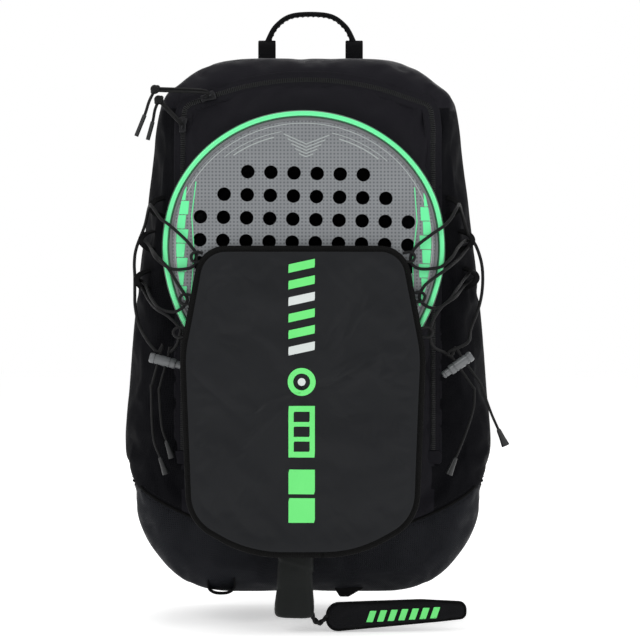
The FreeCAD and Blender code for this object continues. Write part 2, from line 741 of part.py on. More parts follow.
core_half_x = GRIP_WIDE / 2 - 2.5
core_half_y = GRIP_DEEP / 2 - 2.5
handle_core = handle_box(core_half_x, core_half_y, BUTT_END + 6, HANDLE_TOP, 5.0)
grip = handle_box(GRIP_WIDE / 2, GRIP_DEEP / 2, BUTT_END + 12, HANDLE_TOP - 6, 7.0)
grip = grip.cut(handle_box(core_half_x, core_half_y, BUTT_END, HANDLE_TOP, 5.0))
collar = handle_box(GRIP_WIDE / 2 + 1.2, GRIP_DEEP / 2 + 1.2, HANDLE_TOP - 6, HANDLE_TOP, 7.0)
collar = collar.cut(handle_box(core_half_x, core_half_y, HANDLE_TOP - 10, HANDLE_TOP + 5, 5.0))
butt_cap = handle_box(19.5, 17.5, BUTT_END, BUTT_END + 12, 8.0)
butt_cap = butt_cap.cut(handle_box(core_half_x, core_half_y, BUTT_END + 6, BUTT_END + 20, 5.0))

save("racket_frame", place_racket(racket_frame()))
save("racket_face_front", place_racket(sandwich(front_skin_y, front_skin_y + FACE_SKIN)))
save("racket_face_back", place_racket(sandwich(back_skin_y - FACE_SKIN, back_skin_y)))
save("racket_core", place_racket(sandwich(front_skin_y + FACE_SKIN, back_skin_y - FACE_SKIN)))
save("racket_handle_core", place_racket(handle_core))
save("racket_grip", place_racket(grip))
save("racket_grip_collar", place_racket(collar))
save("racket_butt_cap", place_racket(butt_cap))

# ---------------------------------------------------------------- wrist strap
PAD_X = (16.0, 140.0)
PAD_Z = (-23.0, 3.0)
WRIST_Y = RACKET_MID_Y
wrist_pad = soft_block(PAD_X[0], PAD_X[1], WRIST_Y - 3.5, WRIST_Y + 3.5, PAD_Z[0], PAD_Z[1], 3.2)
wrist_start_z = RACKET_CENTRE[1] + BUTT_END - 0.6
wrist_course = [(0, wrist_start_z), (0, -16.5), (8, -16.5), (PAD_X[0] - 1.6, -10)]
wrist_cord = cord([(x, WRIST_Y, z) for x, z in wrist_course], 1.8)
save("wrist_pad", wrist_pad)
save("wrist_cord", wrist_cord)
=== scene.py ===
import json
import math

import bmesh
import bpy
import numpy as np
from mathutils import Matrix, Vector, noise
from mathutils.bvhtree import BVHTree
from mathutils.kdtree import KDTree


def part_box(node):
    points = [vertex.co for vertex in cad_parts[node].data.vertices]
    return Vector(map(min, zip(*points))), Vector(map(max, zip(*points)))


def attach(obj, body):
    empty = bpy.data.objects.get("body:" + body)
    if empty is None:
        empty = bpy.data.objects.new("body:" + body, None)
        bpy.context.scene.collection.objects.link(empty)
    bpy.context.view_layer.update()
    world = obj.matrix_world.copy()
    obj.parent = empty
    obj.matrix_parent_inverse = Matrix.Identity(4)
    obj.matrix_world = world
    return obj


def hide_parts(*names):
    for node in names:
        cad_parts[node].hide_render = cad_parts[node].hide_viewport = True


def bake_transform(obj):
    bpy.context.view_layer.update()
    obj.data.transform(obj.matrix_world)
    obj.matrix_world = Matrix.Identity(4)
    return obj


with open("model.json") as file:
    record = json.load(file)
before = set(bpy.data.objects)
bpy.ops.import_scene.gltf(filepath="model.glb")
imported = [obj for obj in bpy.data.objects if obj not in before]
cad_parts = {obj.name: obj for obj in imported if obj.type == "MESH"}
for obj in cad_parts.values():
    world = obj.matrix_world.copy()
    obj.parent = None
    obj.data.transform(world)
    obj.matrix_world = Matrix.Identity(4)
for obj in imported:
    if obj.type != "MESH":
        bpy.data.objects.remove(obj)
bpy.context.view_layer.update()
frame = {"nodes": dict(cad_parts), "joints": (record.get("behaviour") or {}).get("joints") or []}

# Plan sizes below are in millimetres (+X right, -Y front, +Z up), with heights from a datum BASE_Z
# under the base. place() and plan() change between the plan and the frame, in metres from the base.
MM = 0.001
BASE_Z = 8.0
DATUM = np.array((0, 0, BASE_Z))
X, Y, Z = 0, 1, 2
SIDE_NAME = {-1: "left", 1: "right"}
scene = bpy.context.scene


def place(spot):
    return Vector(np.asarray(spot, float) - DATUM) * MM


def plan(spot):
    return np.array(spot) / MM + DATUM


def low(node, axis):
    return plan(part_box(node)[0])[axis]


def high(node, axis):
    return plan(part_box(node)[1])[axis]


def mid(node, axis):
    return (low(node, axis) + high(node, axis)) / 2


# ---------------------------------------------------------------- places taken from the frame
BAG_FRONT = low("front_panel", Y)
BAG_BACK = high("back_panel", Y)
BAG_TOP = high("top_gusset", Z)
RACKET_FRONT = low("racket_frame", Y)
RACKET_BACK = high("racket_frame", Y)
RACKET_MID = (RACKET_FRONT + RACKET_BACK) / 2
FLAP_FRONT = low("holder_flap_binding", Y)
FLAP_EDGE = high("holder_flap", Y)            # back of the flap at its side edges
FLAP_X = mid("holder_flap_binding", X)
FLAP_TOP = high("holder_flap_binding", Z)
FLAP_LOW = low("holder_flap_binding", Z)
LOCK_Y = mid("cord_lock_left", Y)
FRONT_ROUND = 18.0
BACK_ROUND = 14.0
BACK_SEAM = low("back_panel", Y)
TILT = math.atan2(frame["joints"][0]["axis"][0], frame["joints"][0]["axis"][2])
JOINTS = {j["name"]: j for j in frame["joints"]}


# ---------------------------------------------------------------- procedural materials
def linear(rgb):
    """sRGB 0-255 to linear RGBA."""
    parts = [c / 255 for c in rgb]
    return [c / 12.92 if c <= 0.04045 else ((c + 0.055) / 1.055) ** 2.4 for c in parts] + [1.0]


class Surface:
    """Builds one procedural material: base colour, then relief layers added one after another."""

    def __init__(self, name, rgb, rough, coords="Object", metal=0.0, sheen=0.0, coat=0.0, vary=0.12,
                 spec=0.5):
        self.material = bpy.data.materials.new(name)
        self.material.use_nodes = True
        self.nodes = self.material.node_tree.nodes
        self.links = self.material.node_tree.links
        self.bsdf = self.nodes["Principled BSDF"]
        self.place = self.nodes.new("ShaderNodeTexCoord").outputs[coords]
        self.bsdf.inputs["Metallic"].default_value = metal
        self.bsdf.inputs["Sheen Weight"].default_value = sheen
        self.bsdf.inputs["Sheen Roughness"].default_value = 0.5
        self.bsdf.inputs["Coat Weight"].default_value = coat
        self.bsdf.inputs["Coat Roughness"].default_value = 0.25
        self.bsdf.inputs["Specular IOR Level"].default_value = spec
        self.relief = None
        self.colour = self.mottle(linear(rgb), vary)
        self.links.new(self.colour, self.bsdf.inputs["Base Color"])
        self.roughen(rough)

    def noise(self, size, detail=3.0):
        node = self.nodes.new("ShaderNodeTexNoise")
        node.inputs["Scale"].default_value = 1 / (size * MM)
        node.inputs["Detail"].default_value = detail
        self.links.new(self.place, node.inputs["Vector"])
        return node.outputs["Fac"]

    def ramp(self, value, out_low, out_high, in_low=0.0, in_high=1.0):
        node = self.nodes.new("ShaderNodeMapRange")
        node.inputs["From Min"].default_value = in_low
        node.inputs["From Max"].default_value = in_high
        node.inputs["To Min"].default_value = out_low
        node.inputs["To Max"].default_value = out_high
        self.links.new(value, node.inputs["Value"])
        return node.outputs["Result"]

    def maths(self, operation, a, b=None):
        node = self.nodes.new("ShaderNodeMath")
        node.operation = operation
        for socket, value in zip(node.inputs, (a, b)):
            if value is None:
                continue
            if isinstance(value, (int, float)):
                socket.default_value = value
            else:
                self.links.new(value, socket)
        return node.outputs["Value"]

    def axis(self, name):
        node = self.nodes.new("ShaderNodeSeparateXYZ")
        self.links.new(self.place, node.inputs["Vector"])
        return node.outputs[name]

    def wave(self, axis, period, phase=0.0):
        """Sine along one axis, from -1 to 1."""
        turns = self.maths("MULTIPLY", self.axis(axis), 2 * math.pi / (period * MM))
        return self.maths("SINE", self.maths("ADD", turns, phase))

    def mottle(self, rgba, amount):
        mix = self.nodes.new("ShaderNodeMix")
        mix.data_type = "RGBA"
        mix.inputs["A"].default_value = [c * (1 - amount) for c in rgba[:3]] + [1]
        mix.inputs["B"].default_value = [min(1, c * (1 + amount)) for c in rgba[:3]] + [1]
        self.links.new(self.noise(38), mix.inputs["Factor"])
        return mix.outputs["Result"]

    def blend_colour(self, rgb, mask):
        """Lays a second colour over the first where the mask is 1."""
        mix = self.nodes.new("ShaderNodeMix")
        mix.data_type = "RGBA"
        self.links.new(mask, mix.inputs["Factor"])
        self.links.new(self.colour, mix.inputs["A"])
        mix.inputs["B"].default_value = linear(rgb)
        self.colour = mix.outputs["Result"]
        self.links.new(self.colour, self.bsdf.inputs["Base Color"])
        return self

    def roughen(self, rough):
        value = self.ramp(self.noise(14), rough - 0.06, min(1, rough + 0.06), 0.3, 0.7)
        self.links.new(value, self.bsdf.inputs["Roughness"])

    def bump(self, height, depth):
        node = self.nodes.new("ShaderNodeBump")
        node.inputs["Distance"].default_value = depth * MM
        self.links.new(height, node.inputs["Height"])
        if self.relief is not None:
            self.links.new(self.relief, node.inputs["Normal"])
        self.relief = node.outputs["Normal"]
        self.links.new(self.relief, self.bsdf.inputs["Normal"])
        return self

    def weave(self, period, depth, axes="XYZ"):
        """Plain weave: threads crossing at right angles whichever way the face looks."""
        waves = [self.wave(a, period) for a in axes]
        total = self.maths("MULTIPLY", waves[0], waves[-1])
        if len(waves) > 2:
            total = self.maths("ADD", total, self.maths("MULTIPLY", waves[1], waves[2]))
            total = self.maths("ADD", total, self.maths("MULTIPLY", waves[0], waves[1]))
        return self.bump(total, depth)

    def ribs(self, axis, period, depth):
        return self.bump(self.wave(axis, period), depth)

    def braid(self, period, depth):
        """Two sets of strands running slantwise round a cord, in its own length and girth."""
        along, around = self.axis("X"), self.axis("Y")
        scale = 2 * math.pi / (period * MM)
        one = self.maths("SINE", self.maths("MULTIPLY", self.maths("ADD", along, around), scale))
        other = self.maths("SINE", self.maths("MULTIPLY", self.maths("SUBTRACT", along, around), scale))
        return self.bump(self.maths("MULTIPLY", one, other), depth)

    def crumple(self, size, depth):
        return self.bump(self.noise(size, 2.0), depth)

    def cells(self, size, depth):
        node = self.nodes.new("ShaderNodeTexVoronoi")
        node.inputs["Scale"].default_value = 1 / (size * MM)
        self.links.new(self.place, node.inputs["Vector"])
        return self.bump(node.outputs["Distance"], depth)


MINT = (96, 226, 150)
PRINT_GREEN = (96, 214, 110)


def make_materials():
    made = {}

    def keep(name, surface):
        made[name] = surface.material

    def cloth(name, rgb, rough, sheen=0.0, spec=0.06, coords="Object", **more):
        return Surface(name, rgb, rough, coords, sheen=sheen, spec=spec, **more)

    keep("coated_cloth",
         cloth("coated_cloth", (21, 20, 25), 0.5, spec=0.08).weave(1.1, 0.05).crumple(30, 0.9))
    keep("side_cloth", cloth("side_cloth", (12, 12, 15), 0.58, spec=0.04).weave(1.4, 0.08).crumple(22, 1.4))
    keep("boot_cloth", cloth("boot_cloth", (22, 23, 27), 0.5, spec=0.08).weave(1.8, 0.1).crumple(26, 1.3))
    flap_sheet = cloth("flap_sheet", (27, 28, 30), 0.42, spec=0.1, vary=0.08)
    keep("flap_sheet", flap_sheet.cells(0.9, 0.03).crumple(45, 1.0))
    binding = cloth("binding_tape", (15, 15, 15), 0.8, coords="UV")
    keep("binding_tape", binding.ribs("X", 1.5, 0.15).ribs("Y", 2.2, 0.05))
    keep("webbing", cloth("webbing", (17, 17, 18), 0.75, coords="UV").weave(2.0, 0.16, "XY"))
    keep("mesh_padding", cloth("mesh_padding", (24, 24, 26), 0.85, 0.03).cells(2.6, 0.5))
    keep("lining", cloth("lining", (92, 92, 96), 0.7).weave(1.2, 0.05))
    keep("zip_tape", cloth("zip_tape", (13, 13, 14), 0.7, coords="UV").ribs("X", 1.3, 0.1))
    keep("elastic_cord", cloth("elastic_cord", (15, 15, 16), 0.55, 0.0, 0.2, "UV").braid(1.6, 0.14))
    keep("pad_cloth", cloth("pad_cloth", (18, 18, 20), 0.7).weave(1.5, 0.12).crumple(12, 0.6))
    keep("thread", cloth("thread", (26, 26, 28), 0.7).crumple(0.8, 0.05))
    keep("grip_tape", cloth("grip_tape", (18, 20, 19), 0.5, spec=0.12).cells(1.1, 0.08).crumple(9, 0.4))
    keep("racket_foam", cloth("racket_foam", (16, 17, 17), 0.8, 0.0, 0.1).cells(1.4, 0.1))
    keep("black_metal", Surface("black_metal", (40, 40, 42), 0.32, metal=0.8).crumple(1.2, 0.02))
    keep("black_plastic",
         Surface("black_plastic", (22, 23, 24), 0.36, coat=0.08, spec=0.35).cells(0.6, 0.02))
    keep("lock_plastic", Surface("lock_plastic", (84, 86, 88), 0.34, coat=0.25).cells(0.6, 0.02))
    keep("board", Surface("board", (84, 84, 84), 0.6).cells(1.5, 0.05))
    keep("racket_rim", Surface("racket_rim", MINT, 0.22, coat=0.6, vary=0.03).crumple(2.5, 0.01))
    # darker copy of the mint rim colour: painted shade for the rim's rounded edges
    keep("rim_painted_shade", Surface("rim_painted_shade", (14, 74, 44), 0.3, coat=0.3, vary=0.05).crumple(2.5, 0.01))
    keep("racket_frame_grey",
         Surface("racket_frame_grey", (92, 94, 96), 0.34, coat=0.2, vary=0.05).cells(1.2, 0.02))
    keep("print_green", Surface("print_green", PRINT_GREEN, 0.45, vary=0.04).cells(0.7, 0.02))
    keep("print_line", Surface("print_line", (150, 156, 155), 0.4, vary=0.05).cells(0.7, 0.02))
    keep("print_dark", Surface("print_dark", (38, 40, 42), 0.4, vary=0.05).cells(0.7, 0.02))
    keep("print_light", Surface("print_light", (196, 202, 200), 0.4, vary=0.05).cells(0.7, 0.02))
    face = Surface("racket_face", (116, 119, 122), 0.42, vary=0.12)
    dots = face.maths("ABSOLUTE", face.maths("MULTIPLY", face.wave("X", 6.3), face.wave("Z", 6.3)))
    face.blend_colour((70, 73, 76), face.ramp(dots, 0.0, 0.8, 0.55, 0.75))
    keep("racket_face", face.bump(dots, -0.1))
    return made


MATERIAL = make_materials()


# ---------------------------------------------------------------- mesh helpers
def add_mesh(name, verts, faces, material, uvs=None, sharp=40):
    mesh = bpy.data.meshes.new(name)
    mesh.from_pydata([place(v) for v in verts], [], faces)
    if uvs is not None:
        layer = mesh.uv_layers.new(name="length")
        for loop in mesh.loops:
            layer.data[loop.index].uv = uvs[loop.vertex_index]
    mesh.polygons.foreach_set("use_smooth", [True] * len(mesh.polygons))
    mesh.set_sharp_from_angle(angle=math.radians(sharp))
    mesh.materials.append(MATERIAL[material])
    obj = bpy.data.objects.new(name, mesh)
    scene.collection.objects.link(obj)
    return obj


def join(name, objects):
    """One mesh object out of several, keeping their materials."""
    bpy.ops.object.select_all(action="DESELECT")
    for obj in objects:
        obj.select_set(True)
    bpy.context.view_layer.objects.active = objects[0]
    if len(objects) > 1:
        bpy.ops.object.join()
    objects[0].name = name
    objects[0].data.name = name
    return objects[0]


def finish_piece(name, made, slot_name, body, *nodes):
    """Joins the meshes of a piece, hides the CAD nodes it stands for and puts it on its body."""
    whole = join(name, made)
    if nodes:
        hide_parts(*nodes)
    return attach(whole, body)


def bake(obj):
    """Replaces the mesh by its modified form and drops the modifiers."""
    graph = bpy.context.evaluated_depsgraph_get()
    mesh = bpy.data.meshes.new_from_object(obj.evaluated_get(graph))
    obj.modifiers.clear()
    obj.data = mesh
    mesh.polygons.foreach_set("use_smooth", [True] * len(mesh.polygons))


def coords(obj):
    flat = np.empty(len(obj.data.vertices) * 3)
    obj.data.vertices.foreach_get("co", flat)
    return flat.reshape(-1, 3) / MM + DATUM


def set_coords(obj, places):
    obj.data.vertices.foreach_set("co", ((np.asarray(places) - DATUM) * MM).ravel())
    obj.data.update()


def distances(path):
    """Distance along a polyline at each of its points."""
    gaps = np.linalg.norm(np.diff(path, axis=0), axis=1)
    return np.concatenate([[0], np.cumsum(gaps)])


def at(distance, along, rows):
    """The rows' value at a distance along them."""
    return np.array([np.interp(distance, along, rows[:, k]) for k in range(3)])


def unit(rows):
    return rows / np.linalg.norm(rows, axis=1)[:, None]


def shut(rows):
    """The rows with the first one repeated at the end."""
    return np.vstack([rows, rows[:1]])


def upright(outline, y):
    """(x, z) points stood up at one depth."""
    return np.column_stack([outline[:, 0], np.full(len(outline), y), outline[:, 1]])


def facing_front(count):
    return np.tile((0.0, -1.0, 0.0), (count, 1))


def tube_faces(rings, count):
    """Faces of a closed tube made of rings with the same number of points."""
    faces = []
    for i in range(rings - 1):
        for j in range(count):
            k = (j + 1) % count
            faces.append((i * count + j, i * count + k, (i + 1) * count + k, (i + 1) * count + j))
    last = (rings - 1) * count
    return faces + [tuple(reversed(range(count))), tuple(range(last, last + count))]


def circle_at(x, z, radius, count=28):
    turns = np.linspace(0, 2 * math.pi, count, endpoint=False)
    return np.column_stack([x + radius * np.cos(turns), z + radius * np.sin(turns)])


def rounded_box(x_a, x_b, z_a, z_b, radius, count):
    corners = [(x_a, z_a, radius), (x_b, z_a, radius), (x_b, z_b, radius), (x_a, z_b, radius)]
    return rounded_outline(corners, count)


def rounded_outline(corners, count):
    """Evenly spaced (x, z) points round an outline of corners (x, z, radius)."""
    spots = []
    total = len(corners)
    for i, (x, z, radius) in enumerate(corners):
        corner = np.array((x, z), float)
        back = np.array(corners[i - 1][:2], float) - corner
        ahead = np.array(corners[(i + 1) % total][:2], float) - corner
        back /= np.linalg.norm(back)
        ahead /= np.linalg.norm(ahead)
        half = math.acos(np.clip(back @ ahead, -1, 1)) / 2
        middle = (back + ahead) / np.linalg.norm(back + ahead)
        centre = corner + middle * radius / math.sin(half)
        start = corner + back * radius / math.tan(half)
        end = corner + ahead * radius / math.tan(half)
        for t in np.linspace(0, 1, 24):
            way = (1 - t) * (start - centre) + t * (end - centre)
            spots.append(centre + way / np.linalg.norm(way) * radius)
    return even(np.array(spots), count, True)


def even(points, count, closed=False):
    """Resamples a polyline at even distances."""
    points = np.asarray(points, float)
    if closed:
        points = shut(points)
    along = distances(points)
    wanted = np.linspace(0, along[-1], count, endpoint=not closed)
    return np.column_stack([np.interp(wanted, along, points[:, k]) for k in range(points.shape[1])])


def smooth_path(points, spacing=2.5, closed=False):
    """Catmull-Rom curve through the points, resampled evenly."""
    p = np.asarray(points, float)
    out = []
    if closed:
        p = np.vstack([p[-1], p, p[0], p[1]])
    else:
        p = np.vstack([2 * p[0] - p[1], p, 2 * p[-1] - p[-2]])
    for a, b, c, d in zip(p, p[1:], p[2:], p[3:]):
        square, cube = 2 * a - 5 * b + 4 * c - d, 3 * b - a - 3 * c + d
        for t in np.linspace(0, 1, 12, endpoint=False):
            out.append(0.5 * (2 * b + (c - a) * t + square * t ** 2 + cube * t ** 3))
    if not closed:
        out.append(p[-2])
    out = np.array(out)
    length = np.linalg.norm(np.diff(out, axis=0), axis=1).sum()
    return even(out, max(4, int(length / spacing)), closed)


def outward(outline):
    """Outward normals of an anticlockwise closed outline."""
    run = np.roll(outline, -1, 0) - np.roll(outline, 1, 0)
    normal = np.column_stack([run[:, 1], -run[:, 0]])
    return unit(normal)


def round_profile(radius, sides=10):
    turn = np.linspace(0, 2 * math.pi, sides, endpoint=False)
    return np.column_stack([radius * np.cos(turn), radius * np.sin(turn)])


def flat_profile(width, thick, soft=0.8):
    """Flat band: across by out, with softened long edges."""
    w, t = width / 2, thick / 2
    e = min(soft, t * 0.9)
    right = [(w - e, -t), (w - e * 0.3, -t * 0.7), (w, 0), (w - e * 0.3, t * 0.7), (w - e, t)]
    inner = [(w * k, t) for k in (0.4, 0.0, -0.4)]
    left = [(-x, -z) for x, z in right]
    return np.array(right + inner + left + [(-x, -z) for x, z in inner])


def sweep(name, path, profile, material, closed=False, up=None, size=None):
    """Pushes a closed profile of (across, out) points along a path.
    up: out direction, one vector or one per path point; size: scale per path point."""
    path = np.asarray(path, float)
    n, m = len(path), len(profile)
    run = unit(np.roll(path, -1, 0) - np.roll(path, 1, 0) if closed else np.gradient(path, axis=0))
    if up is None:
        outs = [np.cross(run[0], (0.31, 0.87, 0.37))]
        for t in run[1:]:
            outs.append(outs[-1] - t * (outs[-1] @ t))
        outs = np.array(outs)
    else:
        outs = np.broadcast_to(np.asarray(up, float), path.shape).copy()
    outs -= run * np.sum(outs * run, axis=1)[:, None]
    outs = unit(outs)
    across = np.cross(run, outs)
    size = np.ones(n) if size is None else np.asarray(size, float)
    along = distances(path)
    girth = distances(shut(profile))
    verts, uvs = [], []
    for i in range(n):
        for j, (u, v) in enumerate(profile):
            verts.append(path[i] + (across[i] * u + outs[i] * v) * size[i])
            uvs.append((along[i] * MM, girth[j] * MM))
    faces = []
    for i in range(n if closed else n - 1):
        k = (i + 1) % n
        for j in range(m):
            l = (j + 1) % m
            faces.append((i * m + j, k * m + j, k * m + l, i * m + l))
    if not closed:
        faces.append(tuple(range(m)))
        faces.append(tuple((n - 1) * m + j for j in reversed(range(m))))
    return add_mesh(name, verts, [f[::-1] for f in faces], material, uvs)


def cord(name, points, radius, material="elastic_cord", spacing=2.0, closed=False):
    return sweep(name, smooth_path(points, spacing, closed), round_profile(radius), material, closed)


def lathe(name, origin, direction, profile, material, sides=28):
    """Turned piece: profile of (along, radius) about a line."""
    origin, d = Vector(origin), Vector(direction).normalized()
    side = d.orthogonal().normalized()
    other = d.cross(side)
    verts = []
    for along, radius in profile:
        for k in range(sides):
            a = 2 * math.pi * k / sides
            verts.append(origin + d * along + (side * math.cos(a) + other * math.sin(a)) * max(radius, 0.01))
    return add_mesh(name, verts, tube_faces(len(profile), sides), material)


def plate(name, outlines, y_front, y_back, material, bevel=0.0):
    """Flat piece facing the front, from closed (x, z) outlines; the second and later outlines are holes."""
    curve = bpy.data.curves.new(name, "CURVE")
    curve.dimensions = "2D"
    curve.fill_mode = "BOTH"
    thick = y_back - y_front
    curve.extrude = max(thick / 2 - bevel, 0.0) * MM
    curve.bevel_depth = bevel * MM
    curve.offset = -bevel * MM                # so that the rounded edge ends on the outline
    curve.bevel_resolution = 2
    for outline in outlines:
        spline = curve.splines.new("POLY")
        spline.points.add(len(outline) - 1)
        spline.use_cyclic_u = True
        for spot, (x, z) in zip(spline.points, outline):
            spot.co = (x * MM, z * MM, 0, 1)
    temp = bpy.data.objects.new(name + "_curve", curve)
    scene.collection.objects.link(temp)
    graph = bpy.context.evaluated_depsgraph_get()
    mesh = bpy.data.meshes.new_from_object(temp.evaluated_get(graph))
    bpy.data.objects.remove(temp)
    middle = place((0, (y_front + y_back) / 2, 0))
    mesh.transform(Matrix.Translation(middle) @ Matrix.Rotation(math.pi / 2, 4, "X"))
    mesh.materials.clear()
    mesh.materials.append(MATERIAL[material])
    mesh.polygons.foreach_set("use_smooth", [True] * len(mesh.polygons))
    mesh.set_sharp_from_angle(angle=math.radians(35))
    obj = bpy.data.objects.new(name, mesh)
    scene.collection.objects.link(obj)
    return obj


def tree_of(obj):
    graph = bpy.context.evaluated_depsgraph_get()
    return BVHTree.FromObject(obj, graph)


def laid_on(tree, points, lift=0.0):
    """Nearest points on a surface, lifted off it, with the surface's normals there."""
    spots, normals = [], []
    for p in points:
        spot, normal, _, _ = tree.find_nearest(place(p))
        spots.append(plan(spot) + np.array(normal) * lift)
        normals.append(np.array(normal))
    return np.array(spots), np.array(normals)


def cast_on(tree, points, lift, facing, near_y):
    """Points (x, z) dropped on to a surface along the depth, from the front (facing -1) or behind (1)."""
    spots, normals = [], []
    for x, z in points:
        spot, normal, _, _ = tree.ray_cast(place((x, 400 * facing, z)), Vector((0, -facing, 0)))
        if spot is None:
            spot, normal, _, _ = tree.find_nearest(place((x, near_y, z)))
        if normal.y * facing < 0:
            normal = -normal
        spots.append(plan(spot) + np.array(normal) * lift)
        normals.append(np.array(normal))
    return np.array(spots), np.array(normals)


def front_of(tree, points, lift=0.0):
    return cast_on(tree, points, lift, -1, BAG_FRONT)


def back_of(tree, points, lift=0.0):
    return cast_on(tree, points, lift, 1, BAG_BACK + 20)


def stitches(name, path, normals, material="thread", stitch=3.2, gap=1.8, radius=0.32):
    """Row of short thread stitches lying along a path on a surface."""
    along = distances(path)
    verts, faces = [], []
    start = 0.0
    while start + stitch < along[-1]:
        ends = []
        for s in (start, start + stitch / 2, start + stitch):
            spot, normal = at(s, along, path), at(s, along, normals)
            ends.append((spot, normal / np.linalg.norm(normal)))
        run = ends[2][0] - ends[0][0]
        run /= np.linalg.norm(run)
        base = len(verts)
        for (spot, normal), lift, fat in zip(ends, (-0.25, radius, -0.25), (0.5, 1.0, 0.5)):
            across = np.cross(run, normal)
            for a in (0, 72, 144, 216, 288):
                turn = math.radians(a)
                way = across * math.cos(turn) + normal * math.sin(turn)
                verts.append(spot + normal * lift + way * radius * fat)
        for ring in (0, 5):
            for k in range(5):
                l = (k + 1) % 5
                faces.append((base + ring + k, base + ring + l, base + ring + 5 + l, base + ring + 5 + k))
        start += stitch + gap
    return add_mesh(name, verts, faces, material)


# ---------------------------------------------------------------- cloth
def drape(obj, pressure, slack, held, limit, stiff=15.0, frames=20):
    """Cloth run: held is each vertex's pin weight, slack lets the mesh grow, limit caps the movement (mm)."""
    rest = coords(obj)
    group = obj.vertex_groups.new(name="held")
    for index, weight in enumerate(held):
        if weight > 0.001:
            group.add([index], float(weight), "REPLACE")
    cloth = obj.modifiers.new("Cloth", "CLOTH")
    settings = cloth.settings
    settings.quality = 5
    settings.mass = 0.3
    settings.tension_stiffness = stiff
    settings.compression_stiffness = stiff
    settings.shear_stiffness = stiff / 3
    settings.bending_stiffness = 0.4
    settings.vertex_group_mass = "held"
    settings.use_pressure = True
    settings.uniform_pressure_force = pressure
    settings.shrink_min = -slack
    settings.effector_weights.gravity = 0
    cloth.collision_settings.use_collision = False
    cloth.collision_settings.use_self_collision = False
    for number in range(1, frames + 1):
        scene.frame_set(number)
    bake(obj)
    moved = coords(obj) - rest
    size = np.linalg.norm(moved, axis=1)
    size[size < 1e-6] = 1e-6
    moved *= (limit * np.tanh(size / limit) / size)[:, None]
    set_coords(obj, rest + moved)
    obj.vertex_groups.clear()
    scene.frame_set(1)
    smoother = obj.modifiers.new("Subdivision", "SUBSURF")
    smoother.levels = 1
    smoother.render_levels = 1
    bake(obj)
    return obj


def remesh(obj, size):
    voxel = obj.modifiers.new("Remesh", "REMESH")
    voxel.mode = "VOXEL"
    voxel.voxel_size = size * MM
    bake(obj)


def near(points, lines, reach, core=0.0):
    """For each point 1 on the lines, falling to 0 at reach."""
    tree = KDTree(sum(len(line) for line in lines))
    index = 0
    for line in lines:
        for spot in line:
            tree.insert(spot, index)
            index += 1
    tree.balance()
    gaps = np.array([tree.find(p)[2] for p in points])
    return np.clip((reach - gaps) / (reach - core), 0, 1)


def groove(obj, lines, width, depth):
    """Presses a soft channel into the surface along the lines."""
    places = coords(obj)
    normals = np.array([v.normal for v in obj.data.vertices])
    share = near(places, lines, width)
    share = share * share * (3 - 2 * share)
    set_coords(obj, places - normals * (share * depth)[:, None])


# ---------------------------------------------------------------- bag shell
# right half of the outline from below: (x, z, corner radius)
BAG_SIDE = [(110, BASE_Z, 62), (150, 58, 90), (164, 128, 110), (153, 262, 300), (131, 454, 24),
            (84, BAG_TOP, 70)]
BAG_CORNERS = BAG_SIDE + [(-x, z, r) for x, z, r in reversed(BAG_SIDE)]
BAG_OUTLINE = rounded_outline(BAG_CORNERS, 300)
BAG_NORMALS = outward(BAG_OUTLINE)
BAG_MIDDLE = np.array((0, 250))


def bag_ring(inset, y, shrink=1.0):
    ring = BAG_OUTLINE - BAG_NORMALS * inset
    return upright(BAG_MIDDLE + (ring - BAG_MIDDLE) * shrink, y)


def bag_rings():
    """Sections of the shell from the middle of the front, round the sides, to the middle of the back."""
    front = [bag_ring(FRONT_ROUND, BAG_FRONT, k) for k in np.linspace(0.04, 1, 30)]
    back = [bag_ring(BACK_ROUND, BAG_BACK, k) for k in np.linspace(1, 0.04, 30)]
    turns = [math.radians(a) for a in (18, 36, 54, 72, 90)]

    def edge(radius, y, way, angles):
        """Rings round a rounded edge that starts at depth y and turns along way."""
        return [bag_ring(radius * (1 - math.sin(a)), y + way * radius * (1 - math.cos(a))) for a in angles]

    front_edge = edge(FRONT_ROUND, BAG_FRONT, 1, turns)
    back_edge = edge(BACK_ROUND, BAG_BACK, -1, turns[::-1])
    wall = [bag_ring(0, y) for y in np.linspace(BAG_FRONT + FRONT_ROUND, BAG_BACK - BACK_ROUND, 22)[1:-1]]
    return front + front_edge + wall + back_edge + back


def zip_course():
    """The zip seen from the front: up one side, round the crown's arc and down the other."""
    side_x = high("zip_coil", X) - 2.5
    middle_z = JOINTS["zip_top_travel"]["pos_m"][2] / MM + BASE_Z
    radius = high("zip_coil", Z) - 2.5 - middle_z
    side = [(side_x, z) for z in (low("zip_coil", Z), 250, 350, 405)]
    side += [(side_x - 0.4, 430), (side_x - 3.5, 443.5)]
    over = [(x, middle_z + math.sqrt(radius ** 2 - x ** 2)) for x in (97, 60, 20)]
    right = side + over
    return smooth_path(right + [(-x, z) for x, z in reversed(right)], 3.0)


def boot_height(x):
    """Height of the base boot's seam: an arch that is lowest in the middle."""
    radius = 272
    return 52 + radius - math.sqrt(radius ** 2 - x ** 2)


def boot_lines():
    hip = high("base_boot", X)
    across = np.linspace(-hip + 6, hip - 6, 90)
    front = [(x, BAG_FRONT, boot_height(x)) for x in across]
    side_z = boot_height(hip)
    depths = np.linspace(BAG_FRONT + 12, BAG_BACK - 10, 40)
    sides = [np.array([(x, y, side_z) for y in depths]) for x in (-hip, hip)]
    return [np.array(front)] + sides


